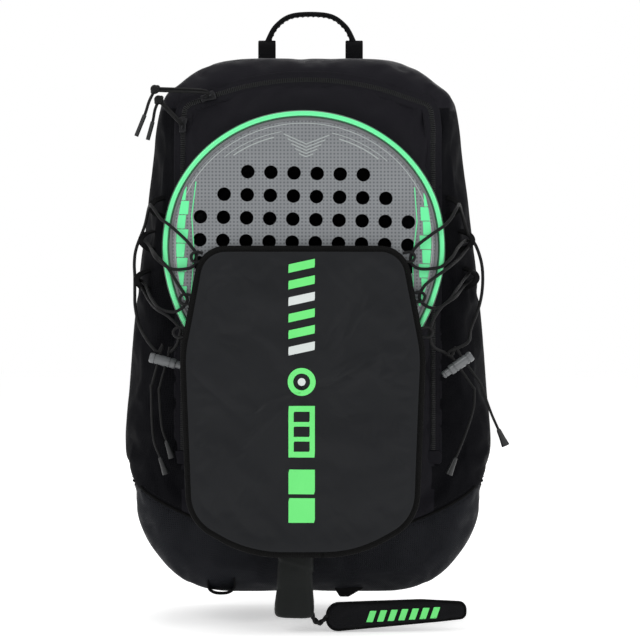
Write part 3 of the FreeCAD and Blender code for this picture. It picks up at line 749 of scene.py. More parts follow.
def bag_shell():
    rings = bag_rings()
    shell = add_mesh("bag_shell", np.vstack(rings), tube_faces(len(rings), len(BAG_OUTLINE)), "side_cloth")
    remesh(shell, 6.0)
    course = zip_course()
    zip_line = upright(course, BAG_FRONT)
    back_seam = bag_ring(0.0, BACK_SEAM)
    lines = [zip_line, back_seam] + boot_lines()
    places = coords(shell)
    held = near(places, lines, 9.0, 3.0)
    held = np.maximum(held, np.clip((places[:, Y] - BACK_SEAM) / 6, 0, 1))
    drape(shell, 2.2, 0.035, held, 6.0)
    groove(shell, lines[:1], 7.0, 1.6)
    groove(shell, lines[1:], 4.0, 1.2)
    groove(shell, gathers(), 7.5, 3.0)
    paint_shell(shell, course)
    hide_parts("front_panel", "top_gusset", "side_gusset_left", "side_gusset_right", "base_boot",
                "back_panel")
    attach(shell, "bag")
    return shell, back_seam


def gathers():
    """Fold lines gathered at the two top corners, from the zip's bends down."""
    lines = [[(111, 461), (106, 430), (100, 398)], [(127, 453), (118, 425), (109, 390)],
             [(134, 440), (131, 400), (129, 360)]]
    lines += [[(-118, 462), (-121, 420), (-118, 370)], [(-125, 460), (-129, 410), (-126, 350)],
              [(-134, 445), (-136, 400), (-138, 345)]]
    return [np.insert(smooth_path(line, 3.0), 1, BAG_FRONT + 2, axis=1) for line in lines]


def paint_shell(shell, course):
    """Cloth by panel: coated front and crown, woven sides, heavier boot."""
    for name in ("coated_cloth", "boot_cloth"):
        shell.data.materials.append(MATERIAL[name])
    zip_x = course[:, 0].max()
    for face in shell.data.polygons:
        x, y, z = plan(face.center)
        index = 0
        if z < boot_height(max(-170, min(170, x))):
            index = 2
        elif y < BAG_FRONT + 14 and abs(x) < zip_x:
            index = 1
        elif y < BACK_SEAM and z > 442:
            index = 1
        face.material_index = index


def seam_trim(shell, back_seam):
    """Piping, tape and stitching that follow the shell's seams."""
    tree = tree_of(shell)
    made = []
    for number, line in enumerate(boot_lines()):
        path, normals = laid_on(tree, smooth_path(line, 3.0), 0.3)
        made.append(sweep(f"boot_piping_{number}", path, round_profile(1.3, 8), "binding_tape", up=normals))
        for shift in (-4.2, 4.2):
            row, row_normals = laid_on(tree, smooth_path(line + np.array((0, 0, shift)), 3.0), 0.05)
            made.append(stitches(f"boot_stitch_{number}_{shift}", row, row_normals))
    path, normals = laid_on(tree, back_seam, 0.4)
    made.append(sweep("back_piping", path, round_profile(1.7, 8), "binding_tape", True, normals))
    row, row_normals = laid_on(tree, shut(back_seam) + np.array((0, -5, 0)), 0.05)
    made.append(stitches("back_stitch", row, row_normals))
    finish_piece("seam_trim", made, "binding_tape", "bag")


def bars(name, path, normals, material, wide, long, pitch, tall):
    """Row of small rounded bars lying across a path, such as zip teeth."""
    along = distances(path)
    verts, faces = [], []
    outline = [(-1, -0.6), (-0.6, -1), (0.6, -1), (1, -0.6), (1, 0.6), (0.6, 1), (-0.6, 1), (-1, 0.6)]
    for s in np.arange(pitch / 2, along[-1], pitch):
        spot, ahead, back = [at(s + step, along, path) for step in (0, 0.5, -0.5)]
        run = (ahead - back) / np.linalg.norm(ahead - back)
        out = at(s, along, normals)
        out -= run * (out @ run)
        out /= np.linalg.norm(out)
        across = np.cross(run, out)
        base = len(verts)
        for lift, grow in ((0.0, 1.0), (tall * 0.7, 1.0), (tall, 0.75)):
            for u, v in outline:
                verts.append(spot + across * u * wide / 2 * grow + run * v * long / 2 * grow + out * lift)
        for ring in (0, 8):
            for k in range(8):
                l = (k + 1) % 8
                faces.append((base + ring + k, base + ring + l, base + ring + 8 + l, base + ring + 8 + k))
        faces.append(tuple(base + 16 + k for k in range(8)))
    return add_mesh(name, verts, faces, material)


# ---------------------------------------------------------------- zip, sliders and pulls
def zip_line_parts(shell, course):
    tree = tree_of(shell)
    path, _ = front_of(tree, course, 0.5)
    path[:, Y] = np.minimum(path[:, Y], BAG_FRONT + 1.0)
    normals = facing_front(len(path))
    tape = sweep("zip_tape_strip", path, flat_profile(11, 0.7, 0.3), "zip_tape", up=normals)
    teeth = bars("zip_teeth", path + normals * 0.35, normals, "black_plastic", 4.6, 1.1, 1.7, 1.1)
    edges = []
    for shift in (-4.7, 4.7):
        run = np.gradient(path, axis=0)
        side = unit(np.cross(run, normals))
        edge = path + side * shift
        edges.append(sweep(f"zip_fold_{shift}", edge + normals * 0.55, flat_profile(6.4, 0.8, 0.35),
                           "coated_cloth", up=normals))
        edges.append(stitches(f"zip_stitch_{shift}", edge + side * shift * 0.36 + normals * 0.95, normals))
    for end in (path[0], path[-1]):
        x, y, z = end
        tab = rounded_box(x - 8, x + 8, z - 9, z + 3, 3, 48)
        edges.append(plate(f"zip_end_{x:.0f}", [tab], y - 1.9, y + 1.0, "coated_cloth", 0.7))
    finish_piece("zip_run", [tape, teeth] + edges, "zip_tape", "bag", "zip_coil")


def slider(node, body):
    """Zip slider: waisted body, raised nose and a bridge, drawn upright and placed by the CAD box."""
    half = 4.4
    shape = [(-half, 3.5), (-half, 6.0), (-2.0, 7.0), (2.0, 7.0), (half, 6.0), (half, 3.5), (3.1, -1),
             (3.2, -6.2), (2.4, -7)]
    shape += [(-2.4, -7), (-3.2, -6.2), (-3.1, -1)]
    outline = even(shape, 60, True)
    plate_part = plate(node + "_body", [outline], -2.5, 0, "black_metal", 0.7)
    turns = np.linspace(-1.9, 1.9, 14) + math.pi
    ring = [(0, -3.2 + 2.42 * math.cos(a), 3.6 * math.sin(a)) for a in turns]
    bridge = cord(node + "_bridge", ring, 0.75, "black_metal", 0.7)
    nose_line = even([(-1.8, 4), (0, 6.2), (1.8, 4), (1.2, 1), (-1.2, 1)], 24, True)
    nose = plate(node + "_nose", [nose_line], -3.2, -2.3, "black_metal", 0.4)
    made = join(node + "_visual", [plate_part, bridge, nose])
    spot = place((mid(node, X), BAG_FRONT - 1.7, mid(node, Z)))
    turn = Matrix.Identity(4)
    if node == "zip_slider_top":              # this one lies along the crown's arc
        angle = math.atan2(spot.x, spot.z - JOINTS["zip_top_travel"]["pos_m"][2])
        turn = Matrix.Rotation(angle + math.pi / 2, 4, "Y")
    made.data.transform(Matrix.Translation(spot) @ turn @ Matrix.Translation((0, 0, BASE_Z * MM)))
    finish_piece(node + "_visual", [made], "black_metal", body, node)


def zip_pull(node, body, spot, knot, tip):
    """Doubled cord through the slider's bridge, knotted, with one tail bound from the middle down."""
    depth = low(node, Y) + 2.0
    made = []
    for shift in (-1.1, 1.1):
        way = [(spot[0], depth + 1.5, spot[1]), (spot[0] - 4, depth + shift * 0.4, spot[1] + 4 + shift)]
        way.append((knot[0], depth, knot[1] + shift))
        made.append(cord(f"{node}_lead_{shift}", way, 1.25, spacing=1.2))
    turns = np.linspace(0, 2 * math.pi, 26)[:-1]
    for number, phase in enumerate((0.0, 1.1)):
        loop = [
            (knot[0] + 2.7 * math.cos(a), depth + 1.7 * math.sin(2 * a + phase),
             knot[1] + 2.6 * math.sin(a + phase))
            for a in turns
        ]
        made.append(cord(f"{node}_knot_{number}", loop, 1.6, spacing=0.8, closed=True))
    x, z = tip
    bend = (knot[0] + (x - knot[0]) * 0.25 - 1.0, depth, knot[1] + (z - knot[1]) * 0.25)
    bound = (knot[0] + (x - knot[0]) * 0.55, depth - 0.2, knot[1] + (z - knot[1]) * 0.55)
    made.append(cord(f"{node}_tail", [(knot[0], depth, knot[1]), bend, bound, (x, depth, z)], 1.35,
                     spacing=1.2))
    made.append(cord(f"{node}_bind", [bound, (x, depth, z)], 1.9, "black_plastic", 0.8))
    finish_piece(node + "_visual", made, "elastic_cord", body, node)


# ---------------------------------------------------------------- carry handle
def box_stitch(name, x, z, half_x, half_z, y):
    rows = [(-1, -1, 1, -1), (1, -1, 1, 1), (1, 1, -1, 1), (-1, 1, -1, -1), (-1, -1, 1, 1), (-1, 1, 1, -1)]
    made = []
    for number, (a, b, c, d) in enumerate(rows):
        path = np.linspace((x + a * half_x, y, z + b * half_z), (x + c * half_x, y, z + d * half_z), 12)
        made.append(stitches(f"{name}_{number}", path, facing_front(12), stitch=2.0, gap=1.0))
    return made


def carry_handle():
    pivot = JOINTS["carry_handle_swing"]["pos_m"]
    mid_x, y, z = plan(pivot)
    half = (high("carry_handle", X) - low("carry_handle", X)) / 2 - 3.5
    rise = high("carry_handle", Z) - z - 3.5
    arch = [(-half, 0), (-half + 1, 5), (-half + 9, rise * 0.66), (-16, rise), (16, rise),
            (half - 9, rise * 0.66), (half - 1, 5), (half, 0)]
    path = smooth_path([(mid_x + x, y, z + h) for x, h in arch], 1.5)
    out = np.cross(np.gradient(path, axis=0), (0, 1, 0))
    size = 1 + 0.28 * np.abs(np.linspace(-1, 1, len(path))) ** 3
    band = sweep("handle_band", path, flat_profile(8.0, 4.2, 2.0), "webbing", up=-out, size=size)
    made = [band]
    for shift in (-2.6, 2.6):
        row = path + np.array((0, shift, 0)) + unit(out) * -2.1 * size[:, None]
        made.append(stitches(f"handle_stitch_{shift}", row, -out))
    for side in (-1, 1):
        foot = [(0, 2.6), (1, 3.3), (13, 3.3), (14, 2.6)]
        spot = (mid_x + side * half - 7, y, z)
        made.append(lathe(f"handle_foot_{side}", spot, (1, 0, 0), foot, "webbing"))
    finish_piece("carry_handle_visual", made, "webbing", "handle", "carry_handle")
    tabs = []
    for side in (-1, 1):
        x = mid_x + side * half
        bow = [(x, y + 5.0 * math.cos(a), z + 4.9 * math.sin(a)) for a in np.linspace(0, math.pi, 12)]
        behind = [(x, y + 4.4, z - 22), (x, y + 4.6, z - 10)]
        before = [(x, y - 4.6, z - 10), (x, y - 4.4, z - 22)]
        course = smooth_path(behind + bow + before, 1.5)
        normal = np.cross(np.gradient(course, axis=0), (1, 0, 0))
        tabs.append(sweep(f"handle_tab_{side}", course, flat_profile(16.5, 1.7), "webbing", up=normal))
        tabs += box_stitch(f"tab_stitch_{side}", x, z - 12, 6, 5, y - 5.7)
    finish_piece("handle_tabs", tabs, "webbing", "bag", "handle_anchors")


# ---------------------------------------------------------------- racket holder
FLAP_SIDE = [(48, 43, 110), (102, 74, 42), (108, 222, 110), (90, FLAP_TOP, 27)]
FLAP_CORNERS = [(FLAP_X + x, z, r) for x, z, r in FLAP_SIDE]
FLAP_CORNERS += [(FLAP_X - x, z, r) for x, z, r in reversed(FLAP_SIDE)]
FLAP_OUTLINE = rounded_outline(FLAP_CORNERS, 280)
FLAP_NORMALS = outward(FLAP_OUTLINE)
FLAP_HALF = 108.0
FLAP_MIDDLE = 190.0                           # height that the flap's outline is taken about
FLAP_BULGE = 4.0
BINDING = 7.5


def flap_face(x):
    """Depth of the flap's front face at x: it bows forwards in the middle."""
    return FLAP_FRONT + 1 + FLAP_BULGE * min(1.0, ((x - FLAP_X) / FLAP_HALF) ** 2)


def flap_panel():
    """Coated sheet, cloth-simulated inside its held rim, then given its thickness."""
    rim = FLAP_OUTLINE - FLAP_NORMALS * (BINDING - 2)
    centre = np.array((FLAP_X, FLAP_MIDDLE))
    steps = 44
    verts = [(centre[0], flap_face(centre[0]), centre[1])]
    for k in range(1, steps + 1):
        for x, z in centre + (rim - centre) * (k / steps):
            verts.append((x, flap_face(x) + 0.3, z))
    count = len(rim)
    faces = [(0, 1 + (j + 1) % count, 1 + j) for j in range(count)]
    for k in range(steps - 1):
        a, b = 1 + k * count, 1 + (k + 1) * count
        faces += [(a + j, a + (j + 1) % count, b + (j + 1) % count, b + j) for j in range(count)]
    sheet = add_mesh("flap_sheet_panel", verts, faces, "flap_sheet", sharp=180)
    for spot in sheet.data.vertices:
        x, _, z = plan(spot.co)
        wave = noise.noise((x / 60, z / 75, 0.3)) * 1.7 + noise.noise(((x + z) / 26, (z - x) / 95, 4)) * 0.9
        edge = min(1.0, min(FLAP_TOP - z, z - FLAP_LOW, FLAP_HALF - abs(x - FLAP_X)) / 40)
        spot.co.y += wave * max(edge, 0) * MM
    held = np.zeros(len(verts))
    held[-3 * count:] = 1
    drape(sheet, 0.5, 0.012, held, 2.0, stiff=25)
    thick = sheet.modifiers.new("Solidify", "SOLIDIFY")
    thick.thickness = 3.2 * MM
    thick.offset = -1
    bake(sheet)
    return sheet


def on_flap(outline):
    return np.array([(x, flap_face(x), z) for x, z in outline])


def flap_trim():
    """Binding, its stitching and the doubled foot."""
    normals = facing_front(len(FLAP_OUTLINE))
    centre = on_flap(FLAP_OUTLINE - FLAP_NORMALS * BINDING / 2) + np.array((0, 2.0, 0))
    made = [sweep("flap_binding", centre, flat_profile(BINDING, 5.6, 2.2), "binding_tape", True, normals)]
    seam = on_flap(FLAP_OUTLINE - FLAP_NORMALS * (BINDING - 1.6)) + np.array((0, -0.85, 0))
    made.append(stitches("flap_binding_stitch", shut(seam), shut(normals)))
    foot = FLAP_OUTLINE - FLAP_NORMALS * (BINDING + 3.2)
    angle = np.arctan2(foot[:, 1] - FLAP_MIDDLE, foot[:, 0] - FLAP_X)
    chosen = foot[(angle > -2.25) & (angle < -0.87)]
    chosen = chosen[np.argsort(chosen[:, 0])]
    path = on_flap(chosen) + np.array((0, -0.5, 0))
    front = facing_front(len(path))
    made.append(sweep("flap_foot_band", path, flat_profile(8.5, 1.3), "boot_cloth", up=front))
    made.append(stitches("flap_foot_stitch", path + np.array((0, -0.65, 2.8)), front))
    finish_piece("flap_trim", made, "binding_tape", "flap", "holder_flap_binding")


def drop_on(obj, tree, lift):
    """Lays a thin front-facing plate on a surface: its depth at y = 0 becomes the surface's."""
    fine = bmesh.new()
    fine.from_mesh(obj.data)
    for _ in range(4):
        long_edges = [e for e in fine.edges if e.calc_length() > 3.0 * MM]
        bmesh.ops.subdivide_edges(fine, edges=long_edges, cuts=1)
        bmesh.ops.triangulate(fine, faces=fine.faces)
    fine.to_mesh(obj.data)
    fine.free()
    places = coords(obj)
    spots, _ = front_of(tree, places[:, [0, 2]])
    places[:, Y] += spots[:, Y] - lift
    set_coords(obj, places)


def flap_print(sheet):
    """Plain geometric column: slanted bars, a ring, a ladder frame and two squares."""
    tree = tree_of(sheet)
    x, half = -5.0, 11.5
    made = []

    def lay(name, outlines, material):
        closed = [even(o, max(24, len(o)), True) for o in outlines]
        piece = plate(name, closed, -0.35, 0.25, material)
        drop_on(piece, tree, 0.15)
        made.append(piece)

    def box(z_low, z_high, inset=0.0):
        return [(x - half + inset, z_low), (x + half - inset, z_low), (x + half - inset, z_high),
                (x - half + inset, z_high)]

    def circle(z, radius):
        return circle_at(x, z, radius, 47)

    for number in range(6):
        z = 220 + number * 14.4
        bar = [(x - half, z), (x + half, z + 5), (x + half, z + 12.4), (x - half, z + 7.4)]
        lay(f"print_bar_{number}", [bar], "print_green" if number % 3 else "print_light")
    lay("print_ring", [circle(197, 12.2), circle(197, 7.4)], "print_green")
    lay("print_dot", [circle(197, 3.4)], "print_light")
    windows = [box(136 + k * 13, 145 + k * 13, 4.5) for k in range(3)]
    lay("print_ladder", [box(131, 176)] + windows, "print_green")
    for z in (74, 99):
        lay(f"print_square_{z}", [box(z, z + 21.5)], "print_green")
    return made


def holder_flap():
    sheet = flap_panel()
    flap_trim()
    finish_piece("flap_panel_visual", [sheet] + flap_print(sheet), "flap_sheet", "flap", "holder_flap")


def holder_gusset(side):
    """Folded cloth wall between the bag's front and one half of the flap's edge."""
    name = SIDE_NAME[side]
    node = "holder_gusset_" + name
    inset = FLAP_OUTLINE - FLAP_NORMALS * 9.2
    top = high(node, Z)
    near_x = low(node, X) if side > 0 else high(node, X)
    keep = (inset[:, 1] < top) & ((inset[:, 0] - near_x) * side > 0)
    line = inset[keep]
    turn = np.arctan2(line[:, 1] - FLAP_MIDDLE, side * (line[:, 0] - FLAP_X))
    line = even(line[np.argsort(-side * turn)], 70)
    front, back = FLAP_EDGE - 0.5, BAG_FRONT + 0.5
    deep = 26
    run = np.gradient(line, axis=0)
    normal = unit(np.column_stack([run[:, 1], -run[:, 0]]))
    verts, faces = [], []
    for j in range(deep + 1):
        t = j / deep
        for i, (p, n) in enumerate(zip(line, normal)):
            fold = math.sin(t * math.pi * 3 + 0.5 * math.sin(i / 9)) * math.sin(t * math.pi) * 2.2
            spot = p + n * (fold + noise.noise((i / 8, t * 3, side)) * 1.4 * math.sin(t * math.pi))
            verts.append((spot[0], back + (front - back) * t, spot[1]))
    count = len(line)
    for j in range(deep):
        for i in range(count - 1):
            a = j * count + i
            faces.append((a, a + 1, a + count + 1, a + count))
    wall = add_mesh(node + "_visual", verts, faces, "boot_cloth", sharp=180)
    thick = wall.modifiers.new("Solidify", "SOLIDIFY")
    thick.thickness = 2.2 * MM
    thick.offset = 0
    bake(wall)
    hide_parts(node)
    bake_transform(wall)


# ---------------------------------------------------------------- elastic lacing
LACE_RADIUS = 1.45
FLAP_LOOPS = {-1: ((-97.5, 306), (-107.5, 269), (-113, 240)), 1: ((89.5, 306), (98.5, 271), (105, 240))}
SIDE_LOOPS = {-1: ((-140, 353), (-149, 323), (-153, 287)), 1: ((135, 353), (147, 323), (151, 289))}
# front view of each side's cord, from the cord lock through every loop and back to the lock
LACE = {
    -1: [
        (-121.6, 222.5), (-115.4, 229), (-112.7, 236), (-111.3, 243), (-115.4, 248), (-122.5, 254.6),
        (-131.4, 260), (-140, 267), (-149, 279), (-152.6, 287), (-147, 283.5), (-138.5, 270.6),
        (-129.6, 261), (-119, 258), (-112, 260), (-106.5, 265), (-105.4, 270), (-108.5, 275),
        (-114.5, 284), (-122.5, 297), (-133, 308), (-143, 319), (-148.5, 323.5), (-142, 318),
        (-134, 307), (-128.7, 301.7), (-120, 296), (-109, 295.5), (-101, 297.5), (-97.4, 303),
        (-98, 310), (-101.5, 315), (-107.4, 322), (-120.7, 334), (-128.7, 340), (-137, 351),
        (-142, 352), (-147, 336), (-154.5, 316), (-156.4, 303), (-156, 290), (-156, 273.6),
        (-155.6, 262.7), (-151.5, 246.5), (-142.5, 233), (-133, 223),
    ],
    1: [
        (127, 219), (120.5, 222.5), (112.5, 226), (108.5, 231), (107, 238.5), (108, 245),
        (111.6, 253.7), (118.7, 263.5), (130, 271.5), (140, 281), (148, 287), (152.5, 291),
        (148, 295), (142, 289), (133, 279.5), (124, 268), (115, 261.7), (107, 262),
        (100.5, 266), (98, 271), (100, 277), (104.5, 283), (114, 290), (124.9, 298),
        (135, 306), (144, 316), (147, 322), (141, 322), (133, 315), (126.7, 306),
        (117.8, 298), (109, 296), (98, 296), (91.5, 300), (90.5, 306), (95, 315),
        (108.9, 326), (117.8, 332), (125, 339), (131, 349), (135, 354), (139.5, 345),
        (144, 330), (152, 317), (157, 300), (157.5, 281), (154.5, 263.6), (146, 243),
        (142, 231),
    ],
}


def lace_depth(x, z, side):
    """Depth of the lacing: beside the racket near the bag, in front of the racket over its face."""
    rim = 134.0 if side < 0 else 128.5
    near_bag = BAG_FRONT - 4.5
    over_racket = RACKET_FRONT - 3.6
    share = np.clip((abs(x) - rim) / 12.0, 0, 1)
    share = share * share * (3 - 2 * share)
    if z < 252:
        drop = np.clip((252 - z) / 22, 0, 1)
        near_bag = near_bag + (LOCK_Y - near_bag) * drop
        over_racket = over_racket + (LOCK_Y - over_racket) * drop * min(1, max(0, (abs(x) - 108) / 14))
    return over_racket + (near_bag - over_racket) * share


def lacing(side):
    name = SIDE_NAME[side]
    points = [(x, lace_depth(x, z, side), z) for x, z in LACE[side]]
    lock = lock_frame(side)
    first, last = lock["holes"] if side < 0 else lock["holes"][::-1]
    up = -lock["down"]
    course = [first + up * 8, first + up * 14] + points + [last + up * 14, last + up * 8]
    lace = cord("lacing_" + name, course, LACE_RADIUS, spacing=1.6)
    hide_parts("lacing_cord_" + name)
    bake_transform(lace)


def loops(shell):
    """Cord loops on the flap's edge and webbing loops on the bag's sides."""
    tree = tree_of(shell)
    flap_made, side_made = [], []
    for side in (-1, 1):
        for x, z in FLAP_LOOPS[side]:
            y = RACKET_FRONT - 5.6
            ring = [(x - side * 6, y + 1.0, z + 3.6), (x + side * 1, y, z + 4.4),
                    (x + side * 4.4, y - 0.4, z + 0.6),
                    (x + side * 2, y - 0.6, z - 3.8), (x - side * 6, y + 1.0, z - 3.8)]
            flap_made.append(cord(f"flap_loop_{side}_{z}", ring, 1.35, spacing=1.2))
        for x, z in SIDE_LOOPS[side]:
            y = BAG_FRONT - 2.5
            ends, _ = front_of(tree, [(x - side * 9, z + 9), (x - side * 9, z - 9)], 0.2)
            ring = [ends[0], (x - side * 2, y - 1, z + 5.5), (x + side * 1.5, y - 3.5, z),
                    (x - side * 2, y - 1, z - 5.5), ends[1]]
            path = smooth_path(ring, 1.2)
            side_made.append(sweep(f"side_loop_{side}_{z}", path, flat_profile(5.5, 1.5), "webbing",
                                   up=(side * 0.35, -0.94, 0)))
    finish_piece("flap_loops_visual", flap_made, "elastic_cord", "flap", "flap_loops")
    finish_piece("side_loops_visual", side_made, "webbing", "bag", "side_loops")


# ---------------------------------------------------------------- cord locks
def lock_frame(side):
    """Centre, barrel direction towards the button, direction of the tails and the two holes."""
    name = SIDE_NAME[side]
    node = "cord_lock_" + name
    centre = np.array([mid(node, a) for a in (X, Y, Z)])
    barrel = -np.array(JOINTS[f"lock_{name}_press"]["axis"], float)
    down = np.array(JOINTS[f"lock_{name}_slide"]["axis"], float)
    inner = barrel * (3.6 if barrel[0] * side < 0 else -3.6)
    return {"centre": centre, "barrel": barrel, "down": down, "holes": [centre + inner, centre - inner]}


# front view of each tail below the straight run that its lock slides along
TAILS = {
    -1: ([(-129.5, 158), (-125, 143)], [(-137.5, 148), (-131, 128)]),
    1: ([(147, 172), (139, 147), (131, 128)], [(163, 169), (170, 153)]),
}


def cord_lock(side):
    name = SIDE_NAME[side]
    frame_at = lock_frame(side)
    centre, barrel, down = frame_at["centre"], frame_at["barrel"], frame_at["down"]
    ribs = [(-12, 3.4), (-11.4, 4.2), (-10.4, 4.6), (-7.6, 4.6), (-7.2, 4.1), (-6.6, 4.1), (-6.2, 4.6),
            (6.2, 4.6), (6.6, 4.1)]
    ribs += [(7.2, 4.1), (7.6, 4.6), (11.2, 4.6), (11.8, 4.3), (12, 3.7), (11, 3.55), (7.2, 3.55)]
    body = lathe("cord_lock_visual_" + name, Vector(centre), Vector(barrel), ribs, "lock_plastic", 36)
    for spot in frame_at["holes"]:
        drill = lathe("drill", Vector(spot - down * 10), Vector(down), [(0, 1.75), (20, 1.75)],
                      "lock_plastic", 20)
        cut = body.modifiers.new("Hole", "BOOLEAN")
        cut.object = drill
        cut.operation = "DIFFERENCE"
        bake(body)
        bpy.data.objects.remove(drill)
    body.data.set_sharp_from_angle(angle=math.radians(40))
    finish_piece(body.name, [body], "black_plastic", "lock_" + name, "cord_lock_" + name)
    start = centre + barrel * 11.7
    button = [(0, 2.6), (0.4, 3.3), (5.0, 3.3), (5.4, 2.9), (5.8, 3.3), (7.0, 3.3), (7.9, 2.7), (8.1, 1.4)]
    knob = lathe("cord_lock_knob_" + name, Vector(start), Vector(barrel), button, "lock_plastic", 30)
    finish_piece(knob.name, [knob], "black_plastic", f"lock_{name}_button", "cord_lock_button_" + name)


def tails(side):
    name = SIDE_NAME[side]
    frame_at = lock_frame(side)
    travel = JOINTS[f"lock_{name}_slide"]["range_m"][1] / MM
    cords, bells = [], []
    down = frame_at["down"]
    for number, (hole, course) in enumerate(zip(frame_at["holes"], TAILS[side])):
        x, z = course[-1]
        y = hole[1] + (7 if number else 1)
        straight = [hole + down * along for along in (-8, travel * 0.5, travel + 4.8, travel + 6)]
        path = smooth_path(straight + [(p, y, q) for p, q in course], 1.5)
        cords.append(sweep(f"tail_{name}_{number}", path, round_profile(1.2), "elastic_cord"))
        run = path[-1] - path[-4]
        bell = [(-1, 1.5), (0, 1.9), (1, 2.1), (7, 2.6), (13.5, 3.5), (15, 3.6), (15.3, 3.2), (14.2, 2.6)]
        bells.append(lathe(f"bell_{name}_{number}", Vector((x, y, z)), Vector(run), bell, "black_plastic",
                           24))
    finish_piece("cord_tails_visual_" + name, cords, "elastic_cord", "bag", "cord_tails_" + name)
    finish_piece("bell_ends_visual_" + name, bells, "black_plastic", "bag", "bell_ends_" + name)


# ---------------------------------------------------------------- racket, drawn in its own upright frame
HEAD = (-3.3, 318.0)
HEAD_HALF, HEAD_UP, HEAD_DOWN = 124.5, 117.5, 137.0
HANDLE_TOP, BUTT_END, BRIDGE = -190.0, -330.0, -118.0
HOLE_ROWS = (6, 8, 10, 10, 10, 8, 6)
HANDLE_SIDES = 56


def head_point(degrees, inset=0.0):
    t = math.radians(degrees)
    height = HEAD_UP if math.sin(t) >= 0 else HEAD_DOWN
    return ((HEAD_HALF - inset) * math.cos(t), (height - inset) * math.sin(t))


def racket_outline(inset=0.0):
    right = [(15, HANDLE_TOP), (19, HANDLE_TOP + 28)]
    right += [head_point(a) for a in (-54, -36, -18, 0, 22.5, 45, 67.5)]
    points = right + [(0, HEAD_UP)] + [(-x, z) for x, z in reversed(right)]
    outline = smooth_path(points, 3.0)
    outline = even(outline, 260, True)
    return outline - outward(outline) * inset


def face_outline(inset):
    points = np.array([head_point(a, inset) for a in np.arange(0, 360, 3)])
    points[:, 1] = np.maximum(points[:, 1], BRIDGE)
    return points


def hole_spots():
    for row, count in enumerate(HOLE_ROWS):
        for i in range(count):
            yield ((i - (count - 1) / 2) * 20.3, 62.0 - 20.3 * row)


def throat(inset):
    return rounded_outline([(-25 + inset, -134 - inset, 7), (25 - inset, -134 - inset, 7),
                            (0, -177 + inset * 1.6, 4)], 60)[::-1]


def racket_frame():
    y_a, y_b = RACKET_FRONT, RACKET_BACK
    # dark green ring behind the mint band, showing at both its edges: painted shade along the rim's rounded
    # edges
    shade = plate("rim_core", [racket_outline(0), racket_outline(6.6)], y_a + 0.8, y_b - 0.8, "rim_painted_shade",
                  1.2)
    mint = plate("rim_band", [racket_outline(0.8), racket_outline(5.0)], y_a, y_b, "racket_rim", 1.2)
    inner = plate("rim_inner", [racket_outline(6.4), face_outline(9.0), throat(0)], y_a + 0.2, y_b - 0.2,
                  "racket_frame_grey", 0.6)
    place_racket("racket_frame_visual", [mint, shade, inner], "racket_rim", "racket_frame")


def place_racket(name, made, slot_name, *nodes):
    whole = join(name, made)
    spot = place((HEAD[0], 0, HEAD[1]))
    upright = Matrix.Rotation(TILT, 4, "Y") @ Matrix.Translation((0, 0, BASE_Z * MM))
    whole.data.transform(Matrix.Translation(spot) @ upright)
    finish_piece(name, [whole], slot_name, "racket", *nodes)


def racket_faces():
    """Drilled sandwich: faces front and back, foam in the hole walls and line art."""
    y_a, y_b = RACKET_FRONT + 0.7, RACKET_BACK - 0.7
    cuts = [circle_at(x, z, 6.0) for x, z in hole_spots()]
    body = plate("racket_sandwich", [face_outline(9.1)] + cuts, y_a, y_b, "racket_face")
    body.data.materials.append(MATERIAL["racket_foam"])
    for face in body.data.polygons:
        face.material_index = 0 if abs(face.normal.y) > 0.7 else 1
    made = [body]
    for inset, wide, start, end in ((11.6, 0.8, -50, 230), (17.5, 0.7, 48, 78), (21, 1.1, 52, 74)):
        for low_turn, high_turn in ((start, min(end, 90)), (180 - min(end, 90), 180 - start)):
            if inset < 12 and low_turn > 0:
                continue
            turns = np.linspace(low_turn, end if inset < 12 else high_turn, 90)
            path = [(x, y_a - 0.1, z) for x, z in (head_point(t, inset) for t in turns)]
            made.append(sweep(f"face_arc_{inset}_{low_turn}", path, flat_profile(wide, 0.5, 0.2),
                              "print_line", up=(0, -1, 0)))
    for side in (-1, 1):
        for step in range(8):
            z = -52 + step * 12.5
            edge = [(112.0 * math.sqrt(1 - (h / HEAD_DOWN) ** 2), h) for h in (z, z + 6, z + 11.9)]
            inner = 101.5 + (step % 2) * 2.5
            bar = even([(inner, z + 11.9), (inner + 0.8, z)] + edge, 40, True) * np.array((side, 1))
            made.append(plate(f"side_bar_{side}_{step}", [bar], y_a - 0.45, y_a + 0.2, "racket_rim", 0.12))
        line = [(side * 98, y_a - 0.1, -54), (side * 96, y_a - 0.1, -10), (side * 99, y_a - 0.1, 22),
                (side * 96, y_a - 0.1, 52)]
        made.append(sweep(f"side_line_{side}", even(line, 40), flat_profile(0.9, 0.5, 0.2), "racket_rim",
                          up=(0, -1, 0)))
    for step in range(5):
        z = 96 - step * 4.2
        half = 20 - step * 3.4
        mark = [(-half, y_a - 0.1, z), (0, y_a - 0.1, z - half * 0.42), (half, y_a - 0.1, z)]
        made.append(sweep(f"chevron_{step}", even(mark, 21), flat_profile(1.0, 0.5, 0.2), "print_line",
                          up=(0, -1, 0)))
    place_racket("racket_faces_visual", made, "racket_face", "racket_face_front", "racket_face_back",
                 "racket_core")


def handle_ring(half_x, half_y, radius):
    """Rounded section of the handle, from its front right corner."""
    corners = [(half_x, -half_y), (half_x, half_y), (-half_x, half_y), (-half_x, -half_y)]
    return rounded_outline([(x, y, radius) for x, y in corners], HANDLE_SIDES)


def tube_of(name, sections, material):
    """Upright handle piece from (height, ring) sections about the racket's own axis."""
    verts = [(x, RACKET_MID + y, height) for height, ring in sections for x, y in ring]
    return add_mesh(name, verts, tube_faces(len(sections), HANDLE_SIDES), material)


